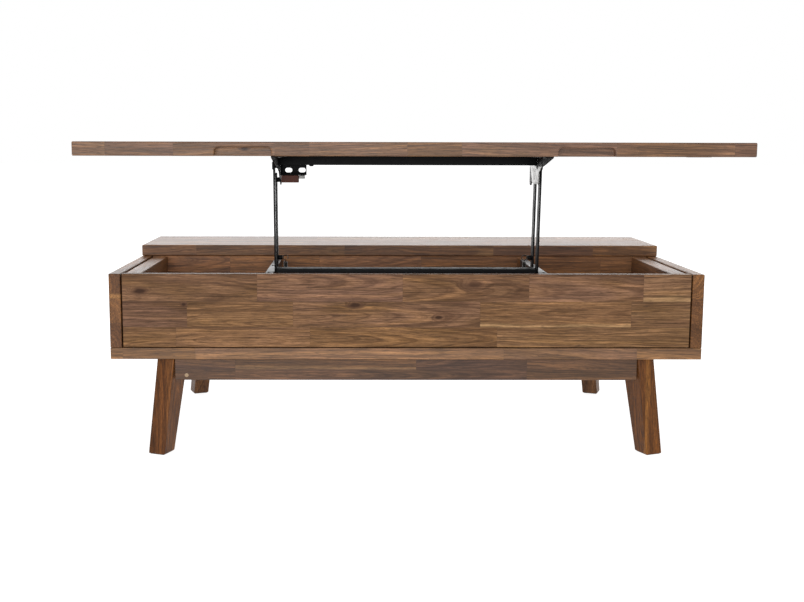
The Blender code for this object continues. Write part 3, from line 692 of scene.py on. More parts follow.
BLACK_STEEL = Coating("black_powder_coat", (0.003, 0.003, 0.0035, 1.0), 0.55, 0.0, 0.2,
                      relief=0.000008, specular=0.09)
SATIN_STEEL = Coating("satin_black_steel", (0.006, 0.006, 0.007, 1.0), 0.34, 0.0, 0.2,
                      relief=0.000008, specular=0.16)
ZINC = Coating("bright_zinc", (0.155, 0.153, 0.148, 1.0), 0.42, 0.85, 0.12, 0.003)
RUBBER = Coating("ribbed_rubber", (0.058, 0.019, 0.013, 1.0), 0.62, 0.0, 0.18, 0.0009, 0.0001,
                 0.2)
FELT = Coating("dark_felt", (0.030, 0.027, 0.024, 1.0), 0.95, 0.0, 0.3, 0.0005, 0.0002)
SPRING_WIRE = Coating("oiled_spring_wire", (0.022, 0.018, 0.015, 1.0), 0.38, 0.5, 0.2)
# tan plated hook wire, made very pale: painted glint on the spring hooks
TAN_WIRE = Coating("passivated_wire_painted_glint", (0.86, 0.79, 0.64, 1.0), 0.25, 0.30, 0.15)
PLUG_WOOD = Coating("pale_wood_plug", (0.300, 0.200, 0.110, 1.0), 0.55, 0.0, 0.2, 0.0012)


# ------------------------------------------------------------------ mesh work


def body_of(node: str) -> str:
    """The name of the body that a node rides on."""
    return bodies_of(frame["nodes"][node])[0]


def placed(name: str, data: bpy.types.ID) -> bpy.types.Object:
    """A new object in the scene.

    Args:
        name: its name.
        data: its mesh, curve, lamp or camera.

    Returns:
        The object.
    """
    made = bpy.data.objects.new(name, data)
    bpy.context.scene.collection.objects.link(made)
    return made


def show(name: str, mesh: bpy.types.Mesh, body: str,
         materials: tuple[bpy.types.Material, ...], nodes: tuple[str, ...] = ()
         ) -> bpy.types.Object:
    """Puts a finished mesh in the scene as a piece of the table.

    Args:
        name: the piece's name.
        mesh: its mesh, in place.
        body: the body that it rides on.
        materials: its materials, in slot order.
        nodes: the nodes that it stands for.

    Returns:
        The new object.
    """
    piece = placed(name, mesh)
    piece.data.materials.clear()
    for material in materials:
        piece.data.materials.append(material)
    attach(piece, body)
    if nodes:
        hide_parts(*nodes)
    LOG.info("%s on %s: %d faces", name, body, len(mesh.polygons))
    return piece


def merged_copy(node: str) -> bmesh.types.BMesh:
    """A node's mesh with its loose triangles joined and its flats made whole.

    Args:
        node: the node to copy.

    Returns:
        The working geometry.
    """
    work = bmesh.new()
    work.from_mesh(frame["nodes"][node].data)
    bmesh.ops.remove_doubles(work, verts=work.verts, dist=WELD)
    bmesh.ops.dissolve_limit(work, angle_limit=math.radians(FLAT_ANGLE), verts=work.verts,
                             edges=work.edges)
    return work


def finished(work: bmesh.types.BMesh, name: str, smooth_angle: float = SMOOTH_ANGLE
             ) -> bpy.types.Mesh:
    """Turns working geometry into a mesh whose small faces are smooth.

    Args:
        work: the geometry, which is freed.
        name: the mesh's name.
        smooth_angle: sharper edges stay hard.

    Returns:
        The mesh.
    """
    for face in work.faces:
        face.smooth = len(face.verts) <= ROUND_FACE and face.calc_area() < FLAT_AREA
    mesh = bpy.data.meshes.new(name)
    work.to_mesh(mesh)
    work.free()
    mesh.set_sharp_from_angle(angle=math.radians(smooth_angle))
    return mesh


def rounded(work: bmesh.types.BMesh, width: float, segments: int,
            angle: float = SHARP_ANGLE) -> list[bmesh.types.BMFace]:
    """Rounds over a shape's sharp edges.

    Args:
        work: the shape.
        width: how far the rounding reaches.
        segments: how many faces make the rounding.
        angle: edges sharper than this are rounded.

    Returns:
        The new faces.
    """
    sharp = [e for e in work.edges if e.calc_face_angle(0.0) > math.radians(angle)]
    return bmesh.ops.bevel(work, geom=sharp, offset=width, segments=segments, profile=0.5,
                           affect="EDGES", clamp_overlap=True, material=-1)["faces"]


def eased(node: str, width: float, segments: int) -> bpy.types.Mesh:
    """A node's shape with its sharp edges rounded over.

    Args:
        node: the node to copy.
        width: how far the rounding reaches.
        segments: how many faces make the rounding.

    Returns:
        The new mesh.
    """
    work = merged_copy(node)
    rounded(work, width, segments)
    return finished(work, node + "_eased", EASED_ANGLE)


def ring_points(centre: Vector, across: Vector, up: Vector, radius: float,
                count: int) -> list[Vector]:
    """Points round a circle in the plane of two directions."""
    return [centre + (across * math.cos(a) + up * math.sin(a)) * radius
            for a in (2 * math.pi * i / count for i in range(count))]


def lathe(name: str, stations: list[tuple[float, float]], place: Vector, axis: Vector,
          count: int = 28) -> bpy.types.Mesh:
    """A turned solid.

    Args:
        name: the mesh's name.
        stations: (distance along the axis, radius), in order.
        place: where the distance is zero.
        axis: the turning axis.
        count: sides.

    Returns:
        The mesh.
    """
    axis = axis.normalized()
    across = axis.orthogonal().normalized()
    up = axis.cross(across)
    work = bmesh.new()
    rings = [[work.verts.new(p) for p in
              ring_points(place + axis * along, across, up, radius, count)]
             for along, radius in stations]
    for low, high in zip(rings, rings[1:]):
        for i in range(count):
            j = (i + 1) % count
            work.faces.new((low[i], low[j], high[j], high[i]))
    work.faces.new(list(reversed(rings[0])))
    work.faces.new(rings[-1])
    bmesh.ops.recalc_face_normals(work, faces=work.faces)
    return finished(work, name)


def baked(name: str, carrier: bpy.types.Object) -> bpy.types.Mesh:
    """Keeps an object's evaluated shape as a plain mesh and removes the object.

    Args:
        name: the mesh's name.
        carrier: the object.

    Returns:
        The mesh.
    """
    graph = bpy.context.evaluated_depsgraph_get()
    mesh = bpy.data.meshes.new_from_object(carrier.evaluated_get(graph))
    mesh.name = name
    bpy.data.objects.remove(carrier, do_unlink=True)
    return mesh


def evaluated_nodes(name: str, tree: bpy.types.NodeTree, seed_mesh: bpy.types.Mesh,
                    values: dict[str, object]) -> bpy.types.Mesh:
    """Runs a geometry node tree once and keeps its result as a plain mesh.

    Args:
        name: the result's name.
        tree: the tree to run.
        seed_mesh: the mesh that goes in.
        values: the tree's inputs by name.

    Returns:
        The result.
    """
    carrier = placed(name + "_maker", seed_mesh)
    modifier = carrier.modifiers.new("make", "NODES")
    modifier.node_group = tree
    for item in tree.interface.items_tree:
        if item.item_type == "SOCKET" and item.in_out == "INPUT" and item.name in values:
            modifier[item.identifier] = values[item.name]
    return baked(name, carrier)


def geometry_tree(name: str, **inputs: str) -> Graph:
    """A new geometry node tree.

    Args:
        name: the tree's name.
        inputs: the kind of each named input, after the geometry.

    Returns:
        The tree's graph.
    """
    tree = bpy.data.node_groups.new(name, "GeometryNodeTree")
    for label, kind in (("Geometry", "Geometry"), *inputs.items()):
        tree.interface.new_socket(label, in_out="INPUT", socket_type="NodeSocket" + kind)
    tree.interface.new_socket("Geometry", in_out="OUTPUT", socket_type="NodeSocketGeometry")
    return Graph(tree)


def wired(g: Graph, kind: str, **inputs: object) -> bpy.types.NodeSocket:
    """Adds a geometry node and feeds it.

    Args:
        g: the tree's graph.
        kind: the node's type name, without its prefix.
        inputs: values or sockets by input name, with _ for a space.

    Returns:
        The node's first output.
    """
    node = g.add("GeometryNode" + kind)
    for label, value in inputs.items():
        g.put(value, node.inputs[label.replace("_", " ")])
    return node.outputs[0]


def painted(g: Graph, shape: bpy.types.NodeSocket, material: bpy.types.NodeSocket
            ) -> bpy.types.NodeTree:
    """Ends a tree: makes its copies real and gives them a material.

    Args:
        g: the tree's graph.
        shape: the geometry.
        material: the material's socket.

    Returns:
        The finished tree.
    """
    real = wired(g, "RealizeInstances", Geometry=shape)
    g.put(wired(g, "SetMaterial", Geometry=real, Material=material),
          g.add("NodeGroupOutput").inputs[0])
    return g.tree


def row_tree() -> bpy.types.NodeTree:
    """Copies of one fastener along a straight row.

    Returns:
        The tree, made once and shared.
    """
    found = bpy.data.node_groups.get("fastener_row")
    if found:
        return found
    g = geometry_tree("fastener_row", Count="Int", Start="Vector", Step="Vector",
                      Material="Material")
    given = g.add("NodeGroupInput").outputs
    line = wired(g, "MeshLine", Count=given["Count"], Start_Location=given["Start"],
                 Offset=given["Step"])
    copies = wired(g, "InstanceOnPoints", Points=line, Instance=given["Geometry"])
    return painted(g, copies, given["Material"])


def coil_tree() -> bpy.types.NodeTree:
    """A close-wound wire coil, standing on its start point and then turned.

    Returns:
        The tree, made once and shared.
    """
    found = bpy.data.node_groups.get("wire_coil")
    if found:
        return found
    g = geometry_tree("wire_coil", Turns="Float", Height="Float", Radius="Float", Wire="Float",
                      Place="Vector", Turn="Rotation", Material="Material")
    given = g.add("NodeGroupInput").outputs
    spiral = wired(g, "CurveSpiral", Resolution=14, Rotations=given["Turns"],
                   Start_Radius=given["Radius"], End_Radius=given["Radius"],
                   Height=given["Height"])
    section = wired(g, "CurvePrimitiveCircle", Resolution=8, Radius=given["Wire"])
    wire = wired(g, "CurveToMesh", Curve=spiral, Profile_Curve=section, Fill_Caps=True)
    smooth = wired(g, "SetShadeSmooth", Geometry=wire)
    moved = wired(g, "Transform", Geometry=smooth, Translation=given["Place"],
                  Rotation=given["Turn"])
    return painted(g, moved, given["Material"])


def tube_mesh(name: str, points: list[Vector], radius: float) -> bpy.types.Mesh:
    """A round wire along points, with closed ends.

    Args:
        name: the mesh's name.
        points: the points, in order.
        radius: the wire's radius.

    Returns:
        The mesh.
    """
    curve = bpy.data.curves.new(name, "CURVE")
    curve.dimensions = "3D"
    curve.bevel_depth = radius
    curve.bevel_resolution = 3
    curve.use_fill_caps = True
    spline = curve.splines.new("POLY")
    spline.points.add(len(points) - 1)
    for point, place in zip(spline.points, points):
        point.co = (*place, 1.0)
    mesh = baked(name, placed(name, curve))
    mesh.shade_smooth()
    return mesh


def joined(name: str, *meshes: bpy.types.Mesh) -> bpy.types.Mesh:
    """Several meshes as one, each with its own material index.

    Args:
        name: the result's name.
        meshes: the meshes, in the order of their materials.

    Returns:
        The joined mesh.
    """
    work = bmesh.new()
    for index, mesh in enumerate(meshes):
        before = len(work.faces)
        work.from_mesh(mesh)
        work.faces.ensure_lookup_table()
        for face in work.faces[before:]:
            face.material_index = index
    result = bpy.data.meshes.new(name)
    work.to_mesh(result)
    work.free()
    result.shade_smooth()
    result.set_sharp_from_angle(angle=math.radians(SMOOTH_ANGLE))
    return result


# ------------------------------------------------------------------ wood


@dataclass(frozen=True)
class Row:
    """One row of staves across a board.

    Attributes:
        width: the row's width.
        joints: where its butt joints lie, along the grain.
        tones: each stave's shade, from 0 dark to 1 pale, or none for random.
    """

    width: float
    joints: tuple[float, ...]
    tones: tuple[float, ...] = ()


def between(faces: Iterable[bmesh.types.BMFace], axis: int, low: float, high: float
            ) -> list[bmesh.types.BMFace]:
    """The faces whose middles lie between two planes across an axis."""
    return [face for face in faces if low < face.calc_center_median()[axis] < high]


@dataclass
class Board:
    """One wooden board, cut from its node and marked out in staves.

    Attributes:
        node: the node that it stands for.
        wood: its finish.
        seed: starts its random numbers.
        rows: its rows of staves from the low side, or none for random ones.
        first_row: a set row on the low side, with random ones after it.
        slot: the record's material slot; not used.
        ease: how far its edges are rounded.
        ease_segments: how many faces make the rounding.
        stave_width: a random row's width.
        stave_length: a random stave's shortest and longest length.
        tone_range: a random stave's darkest and palest shade.
        edge_painted_light: how much paler the rounded edges are.
        hollow: depth and height of its finger notches.
        notch_painted_shade: how much darker the notches are painted, as painted shade inside them.
        margin: the outer rows reach this far past the board.
        overrun: and the end staves this far.
        first_joint: where a random row's first joint lies, in shortest lengths.
        end_gap: no random joint is nearer than this to the far end.
    """

    node: str
    wood: Acacia
    seed: int
    rows: tuple[Row, ...] = ()
    first_row: Row | None = None
    slot: str = "wood"
    ease: float = 0.0016
    ease_segments: int = 3
    stave_width: float = 0.054
    stave_length: tuple[float, float] = (0.20, 0.42)
    tone_range: tuple[float, float] = (0.34, 0.66)
    edge_painted_light: float = 1.15
    hollow: tuple[float, float] = (0.0, 0.0)
    notch_painted_shade: float = 0.58
    margin: float = 0.016
    overrun: float = 0.1
    first_joint: tuple[float, float] = (0.3, 1.0)
    end_gap: float = 0.05

    def axes(self) -> tuple[int, int]:
        """Which axes run along and across the grain."""
        along, across, _ = self.wood.grain.value
        return "XYZ".index(along), "XYZ".index(across)

    def random_rows(self, low: Vector, high: Vector, dice: Random) -> tuple[Row, ...]:
        """Rows with joints at random.

        Args:
            low: the board's lowest corner.
            high: its highest corner.
            dice: the board's own random numbers.

        Returns:
            The rows, from the low side.
        """
        along, across = self.axes()
        total = high[across] - low[across]
        count = max(1, round(total / self.stave_width))
        rows = []
        for _ in range(count):
            place = low[along] + dice.uniform(*self.first_joint) * self.stave_length[0]
            joints = []
            while place < high[along] - self.end_gap:
                joints.append(place)
                place += dice.uniform(*self.stave_length)
            rows.append(Row(total / count, tuple(joints)))
        return tuple(rows)

    def cut(self, work: bmesh.types.BMesh, faces: list[bmesh.types.BMFace], axis: int,
            place: float) -> None:
        """Cuts faces by a plane across one axis.

        Args:
            work: the board.
            faces: the faces to cut.
            axis: the axis.
            place: where the plane crosses it.
        """
        normal = Vector((0.0, 0.0, 0.0))
        normal[axis] = 1.0
        edges = {edge for face in faces for edge in face.edges}
        verts = {vert for face in faces for vert in face.verts}
        bmesh.ops.bisect_plane(work, geom=[*verts, *edges, *faces], plane_co=normal * place,
                               plane_no=normal, dist=CUT_SLACK)

    def mark(self, work: bmesh.types.BMesh, faces: list[bmesh.types.BMFace],
             start: float, low: float, width: float, mark: Vector, jump: Vector) -> None:
        """Writes one stave's values on its faces.

        Args:
            work: the board.
            faces: the stave's faces.
            start: where the stave starts, along the grain.
            low: its low side, across the grain.
            width: its width.
            mark: its shade, hue and kind.
            jump: its place in the figure.
        """
        along, across = self.axes()
        marks = work.faces.layers.float_vector["stave_mark"]
        jumps = work.faces.layers.float_vector["stave_jump"]
        places = work.loops.layers.uv["stave"]
        for face in faces:
            face[marks] = mark
            face[jumps] = jump
            for loop in face.loops:
                spot = loop.vert.co
                loop[places].uv = (spot[along] - start, (spot[across] - low) / width)

    def laid_rows(self, low: Vector, high: Vector, dice: Random) -> tuple[Row, ...]:
        """The board's rows, whether set, partly set or random.

        Args:
            low: the board's lowest corner.
            high: its highest corner.
            dice: the board's own random numbers.

        Returns:
            The rows, from the low side.
        """
        if self.first_row:
            inward = Vector((0.0, 0.0, 0.0))
            inward[self.axes()[1]] = self.first_row.width
            return (self.first_row, *self.random_rows(low + inward, high, Random(self.seed)))
        return self.rows or self.random_rows(low, high, dice)

    def lay_staves(self, work: bmesh.types.BMesh) -> None:
        """Cuts the board into its staves and marks each one.

        Args:
            work: the board.
        """
        dice = Random(self.seed)
        low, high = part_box(self.node)
        along, across = self.axes()
        rows = self.laid_rows(low, high, dice)
        work.faces.layers.float_vector.new("stave_mark")
        work.faces.layers.float_vector.new("stave_jump")
        work.loops.layers.uv.new("stave")
        edge = low[across] - self.margin
        for number, row in enumerate(rows, 1):
            top = edge + row.width + (self.margin if number == 1 else 0.0)
            if number == len(rows):
                top = high[across] + self.margin
            else:
                self.cut(work, work.faces[:], across, top)
            inside = between(work.faces, across, edge, top)
            for joint in row.joints:
                self.cut(work, inside, along, joint)
                inside = between(work.faces, across, edge, top)
            ends = (low[along] - self.overrun, *row.joints, high[along] + self.overrun)
            for i, (start, end) in enumerate(zip(ends, ends[1:])):
                tone = row.tones[i] if row.tones else dice.uniform(*self.tone_range)
                mark = Vector((tone, dice.random(), dice.random()))
                jump = Vector((dice.random(), dice.random(), dice.random()))
                self.mark(work, between(inside, along, start, end), start, edge, top - edge,
                          mark, jump)
            edge = top

    def build(self) -> bpy.types.Object:
        """Builds and dresses the board.

        Returns:
            The finished piece.
        """
        work = merged_copy(self.node)
        # rounded edges take their own copy of the wood: painted light caught on the edges
        for face in rounded(work, self.ease, self.ease_segments):
            face.smooth = True
            face.material_index = 1
        self.lay_staves(work)
        low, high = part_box(self.node)
        # faces inside the finger notches take a darker copy of the wood: painted shade in the
        # notches
        for face in work.faces:
            spot = face.calc_center_median() - low
            if self.ease < spot.y < self.hollow[0] and self.ease < spot.z < self.hollow[1]:
                face.material_index = 2
        mesh = bpy.data.meshes.new(self.node + "_boards")
        work.to_mesh(mesh)
        work.free()
        middle = (low + high) / 2
        # the edge copy carries the painted light on the rounded edges
        materials = [self.wood.material(self.node, middle),
                     self.wood.material(self.node + "_edge", middle, self.edge_painted_light)]
        # the notch copy of the wood is darker: painted shade inside the finger notches
        if self.hollow[0]:
            materials.append(self.wood.material(self.node + "_notch_painted_shade", middle,
                                                self.notch_painted_shade))
        return show(self.node + "_wood", mesh, body_of(self.node), tuple(materials),
                    (self.node,))


@dataclass
class Woodwork:
    """Every wooden board."""

    slab_ease: float = 0.0022
    panel_ease: float = 0.0012
    divider_ease: float = 0.0010
    plug_radius: float = 0.0040
    plug_along: float = 0.0240
    plug_up: float = 0.0100
    # redder than the outside, and painted paler: painted light reaching into the carcass
    inside_tint_and_painted_light: Tint = (1.26, 1.06, 0.86)
    rail_tint: Tint = (0.90, 0.74, 0.62)
    leg_tint: Tint = (0.76, 0.52, 0.24)
    back_leg_tint: Tint = (0.68, 0.57, 0.44)
    apron_tint: Tint = (0.58, 0.54, 0.54)

    def build_slabs(self) -> None:
        """The lifting slab and the fixed rear slab."""
        low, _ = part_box("lift_top")
        front = Row(0.059, (-0.542, -0.423, -0.2455, -0.1855, -0.014, 0.082, 0.353, 0.5605),
                    (0.56, 0.46, 0.53, 0.48, 0.54, 0.46, 0.54, 0.50, 0.40))
        knot = Knot((-0.300, low.y + 0.014, low.z + 0.0125), (0.016, 0.030), deep=0.007)
        Board("lift_top", Acacia(Grain.LENGTH_FLAT, (0.94, 0.94, 0.97), (knot,)), 5,
              first_row=front, ease=self.slab_ease, stave_width=0.059, edge_painted_light=1.0,
              hollow=(0.017, 0.018)).build()
        Board("fixed_top", Acacia(Grain.LENGTH_FLAT, (0.98, 0.88, 0.80)), 12,
              ease=self.slab_ease, stave_width=0.061).build()

    def build_carcass(self) -> None:
        """Front, back, side and bottom panels."""
        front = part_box("front_panel")[0].y
        rows = (Row(0.0410, (-0.467, -0.196, 0.183), (0.49, 0.50, 0.48, 0.58)),
                Row(0.0522, (-0.444, -0.230, 0.148, 0.454), (0.43, 0.54, 0.51, 0.48, 0.60)),
                Row(0.0557, (-0.302, -0.009, 0.246, 0.477), (0.50, 0.46, 0.45, 0.47, 0.62)))
        knots = (Knot((-0.538, front, 0.339), (0.032, 0.014)),
                 Knot((-0.105, front, 0.311), (0.030, 0.013)),
                 Knot((0.135, front, 0.352), (0.045, 0.018), 0.75),
                 Knot((0.064, front, 0.286), (0.018, 0.009)),
                 Knot((-0.450, front, 0.312), (0.012, 0.009)))
        # the front panel's rounded edges are painted slightly darker: painted shade on them
        Board("front_panel",
              Acacia(Grain.LENGTH_UPRIGHT, (1.06, 1.10, 1.17), knots, 0.05), 7, rows,
              ease=self.panel_ease, edge_painted_light=0.95).build()
        Board("back_panel", Acacia(Grain.LENGTH_UPRIGHT), 24).build()
        edge = Row(0.060, (-0.575, -0.429, 0.1975, 0.468), (0.50, 0.52, 0.58, 0.56, 0.52))
        Board("bottom_panel", Acacia(Grain.LENGTH_FLAT, (1.09, 1.05, 0.94)), 31,
              first_row=edge, ease=self.panel_ease, stave_width=0.060).build()
        for label, _ in SIDES:
            Board("side_panel_" + label,
                  Acacia(Grain.DEPTH_UPRIGHT, (0.93, 0.77, 0.56), gloss=0.20),
                  41 + len(label)).build()

    def build_inside(self) -> None:
        """Boards inside the carcass, a little redder than the outside; the dividers are also
        painted paler, as painted light reaching into the carcass.
        """
        Board("cross_divider", Acacia(Grain.LENGTH_UPRIGHT, self.inside_tint_and_painted_light), 53,
              slot="wood_inside", tone_range=(0.46, 0.60)).build()
        for label, _ in SIDES:
            Board("inner_rail_" + label, Acacia(Grain.DEPTH_UPRIGHT, self.rail_tint),
                  61 + len(label), slot="wood_inside").build()
            Board("divider_" + label, Acacia(Grain.DEPTH_UPRIGHT, self.inside_tint_and_painted_light),
                  67 + len(label), slot="wood_inside", ease=self.divider_ease).build()

    def build_base(self) -> None:
        """Legs and aprons."""
        for row, seed, tint in (("front", 71, self.leg_tint), ("back", 77, self.back_leg_tint)):
            for label, _ in SIDES:
                Board(f"leg_{row}_{label}", Acacia(Grain.POST, tint, gloss=0.15),
                      seed + len(label), ease=self.slab_ease, stave_width=0.040,
                      stave_length=(0.5, 0.6)).build()
        rows = (Row(0.0220, (-0.349, 0.246), (0.42, 0.46, 0.52)),
                Row(0.0223, (-0.349, 0.020, 0.246), (0.46, 0.44, 0.42, 0.50)))
        for node, seed in (("apron_front", 83), ("apron_back", 88)):
            Board(node, Acacia(Grain.LENGTH_UPRIGHT, self.apron_tint), seed, rows).build()
        for label, _ in SIDES:
            Board("apron_" + label, Acacia(Grain.DEPTH_UPRIGHT, self.apron_tint),
                  90 + len(label)).build()

    def build_plug(self) -> None:
        """A pale plug in the front apron, near its left end."""
        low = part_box("apron_front")[0]
        place = Vector((low.x + self.plug_along, low.y - 0.0003, low.z + self.plug_up))
        r = self.plug_radius
        mesh = lathe("apron_plug", [(0.0, r * 0.90), (0.0002, r), (0.0030, r)], place,
                     Vector((0.0, 1.0, 0.0)))
        show("apron_plug", mesh, "base", (PLUG_WOOD.material(),))

    def build(self) -> None:
        """Builds all the wood."""
        self.build_slabs()
        self.build_carcass()
        self.build_inside()
        self.build_base()
        self.build_plug()


# ------------------------------------------------------------------ steel


@dataclass
class Bumper:
    """The rubber bumper: a soft block with shallow grooves along its length.

    Attributes:
        grooves: each groove's low and high edge, as shares of the height.
        groove_depth: how deep a groove is, as a share of half the thickness.
        ease: how far the block's edges are rounded.
        sharp: edges sharper than this are rounded, in degrees.
    """

    grooves: tuple[tuple[float, float], ...] = ((0.30, 0.36), (0.64, 0.70))
    groove_depth: float = 0.06
    ease: float = 0.0011
    sharp: float = 60.0

    def mesh(self) -> bpy.types.Mesh:
        """Builds the block.

        Returns:
            The mesh.
        """
        low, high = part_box("bumper_block")
        tall, middle = high.z - low.z, (low.y + high.y) / 2
        work = merged_copy("bumper_block")
        for share in (edge for groove in self.grooves for edge in groove):
            bmesh.ops.bisect_plane(work, geom=work.verts[:] + work.edges[:] + work.faces[:],
                                   plane_co=Vector((0.0, 0.0, low.z + tall * share)),
                                   plane_no=Vector((0.0, 0.0, 1.0)))
        for bottom, top in self.grooves:
            inside = between(work.faces, "XYZ".index("Z"), low.z + tall * bottom,
                             low.z + tall * top)
            for face in inside:
                for vertex in face.verts:
                    vertex.co.y += (middle - vertex.co.y) * self.groove_depth
        rounded(work, self.ease, 3, self.sharp)
        return finished(work, "bumper")


@dataclass
class LiftingFrame:
    """Arms, bars, brackets, rivets and springs.

    Attributes:
        arm_ease: how far an arm's edges are rounded, and so on for the next ones.
        bracket_sheet: thickness of the top brackets' sheet.
        screw_radius: radius of a screw's head.
        screw_height: height of a screw's head.
        flange_screws: how far in from the flange's outer edge and its ends they sit.
        slab_screws: how far in from the bracket's edge and its front they sit.
        slab_screw_step: from one to the next.
        coil_wire: radius of a spring's wire.
        coil_radius: outer radius of a spring's coil.
        coil_pitch: from one turn to the next, in wire radii.
        coil_gap: from the low end of the upper half to its coil.
        coil_short: how much shorter than its half the upper and lower coils are.
        hook_radius: a hook's radius at the top and at the foot.
        hook_wire: radius of a hook's wire.
        hook_neck: from a hook to the bend in its wire.
        hook_stem: from a hook to its coil.
        hook_sweep: how far a hook goes round, in degrees.
        hook_steps: how many straight pieces it has.
        bolt_place: how far the bolt is from the bar's left end, and how deep in it.
    """

    arm_ease: float = 0.0005
    bar_ease: float = 0.0016
    sheet_ease: float = 0.0006
    tube_ease: float = 0.0007
    slotted_ease: float = 0.0004
    rivet_ease: float = 0.0008
    pin_ease: float = 0.0007
    tab_ease: float = 0.0009
    clip_ease: float = 0.0008
    plate_ease: float = 0.0004
    bracket_sheet: float = 0.0025
    screw_radius: float = 0.0034
    screw_height: float = 0.0011
    flange_screws: tuple[float, float] = (0.0062, 0.018)
    slab_screws: tuple[float, float] = (0.0095, 0.016)
    slab_screw_step: float = 0.039
    coil_wire: float = 0.0006
    coil_radius: float = 0.0040
    coil_pitch: float = 2.35
    coil_gap: float = 0.0004
    coil_short: tuple[float, float] = (0.0008, 0.0010)
    hook_radius: tuple[float, float] = (0.00525, 0.0045)
    hook_wire: float = 0.0009
    hook_neck: float = 0.0012
    hook_stem: float = 0.0033
    hook_sweep: float = 315.0
    hook_steps: int = 36
    bolt_place: tuple[float, float] = (0.064, 0.0004)

    def steel(self, node: str, ease: float, segments: int = 2,
              coating: Coating = BLACK_STEEL) -> bpy.types.Object:
        """Dresses one black steel piece with eased edges."""
        return show(node + "_steel", eased(node, ease, segments), body_of(node),
                    (coating.material(),), (node,))

    def build_arms(self) -> None:
        """Flat bars and the two cross bars."""
        for label, _ in SIDES:
            self.steel("front_arm_" + label, self.arm_ease)
            self.steel("rear_arm_" + label, self.arm_ease)
        self.steel("lower_cross_bar", self.tube_ease, 3)
        self.steel("upper_cross_bar", self.bar_ease, 3)

    def build_brackets(self) -> None:
        """Folded brackets on the base and under the slab."""
        for label, _ in SIDES:
            self.steel("base_bracket_" + label, self.sheet_ease, coating=SATIN_STEEL)
            self.steel("top_bracket_" + label, self.sheet_ease)
        self.steel("slotted_bracket", self.slotted_ease)

    def build_rivets(self) -> None:
        """Rivets with rounded heads, spring pins and tabs."""
        for label, _ in SIDES:
            for node in ("base_pivot_front_", "base_pivot_rear_", "top_pivot_front_",
                         "top_pivot_rear_"):
                self.steel(node + label, self.rivet_ease, 3)
            self.steel("spring_anchor_" + label, self.pin_ease, 3)
            self.steel("spring_tab_" + label, self.tab_ease, 3)

    def screw(self) -> bpy.types.Mesh:
        """One low screw head with a cross recess, at the origin.

        Returns:
            The mesh.
        """
        r, h = self.screw_radius, self.screw_height
        mesh = lathe("screw_head", [(-0.0015, r * 0.5), (0.0, r * 0.5), (0.0, r),
                                    (h * 0.45, r * 0.93), (h * 0.85, r * 0.62), (h, r * 0.30)],
                     Vector((0.0, 0.0, 0.0)), Vector((0.0, 0.0, 1.0)), 20)
        work = bmesh.new()
        work.from_mesh(mesh)
        cap = max(work.faces, key=lambda f: f.calc_center_median().z)
        pressed = bmesh.ops.inset_individual(work, faces=[cap], thickness=r * 0.06)
        cap = max((f for f in work.faces if f not in pressed["faces"]),
                  key=lambda f: f.calc_center_median().z)
        for vertex in cap.verts:
            angle = math.atan2(vertex.co.y, vertex.co.x)
            arm = 0.5 + 0.5 * math.cos(4.0 * angle)
            vertex.co.z -= h * (0.25 + 0.45 * arm)
        return finished(work, "screw_head")

    def screw_row(self, name: str, body: str, slot: str, coating: Coating,
                  head: bpy.types.Mesh, **places: object) -> None:
        """One row of screw heads.

        Args:
            name: the piece's name.
            body: the body that it rides on.
            slot: the record's material slot; not used.
            coating: its finish.
            head: one screw head.
            places: how many there are, where the first is and the step to the next.
        """
        mesh = evaluated_nodes(name, row_tree(), head,
                               {**places, "Material": coating.material()})
        show(name, mesh, body, (coating.material(),))

    def build_screws(self) -> None:
        """Screws along the base brackets' flanges and under the slab."""
        for label, side in SIDES:
            inset, end = self.flange_screws
            low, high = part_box("base_bracket_" + label)
            outer = low.x if side < 0 else high.x
            self.screw_row("flange_screws_" + label, "base", "black_steel", BLACK_STEEL,
                           self.screw(), Count=3, Start=(outer - side * inset, low.y + end, high.z),
                           Step=(0.0, (high.y - low.y - 2.0 * end) / 2.0, 0.0))

            inset, end = self.slab_screws
            low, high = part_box("top_bracket_" + label)
            inner = high.x if side < 0 else low.x
            head = self.screw()
            head.transform(Matrix.Rotation(math.pi, 4, "X"))
            self.screw_row("slab_screws_" + label, "lid", "zinc", ZINC, head, Count=4,
                           Start=(inner + side * inset, low.y + end,
                                  high.z - self.bracket_sheet),
                           Step=(0.0, self.slab_screw_step, 0.0))

    def build_springs(self) -> None:
        """Coil springs with wire hooks, in an upper and a lower half."""
        for label, side in SIDES:
            for half, body in (("upper", "rear_arm_" + label), ("lower", "base")):
                self.build_spring(half, label, body, side)

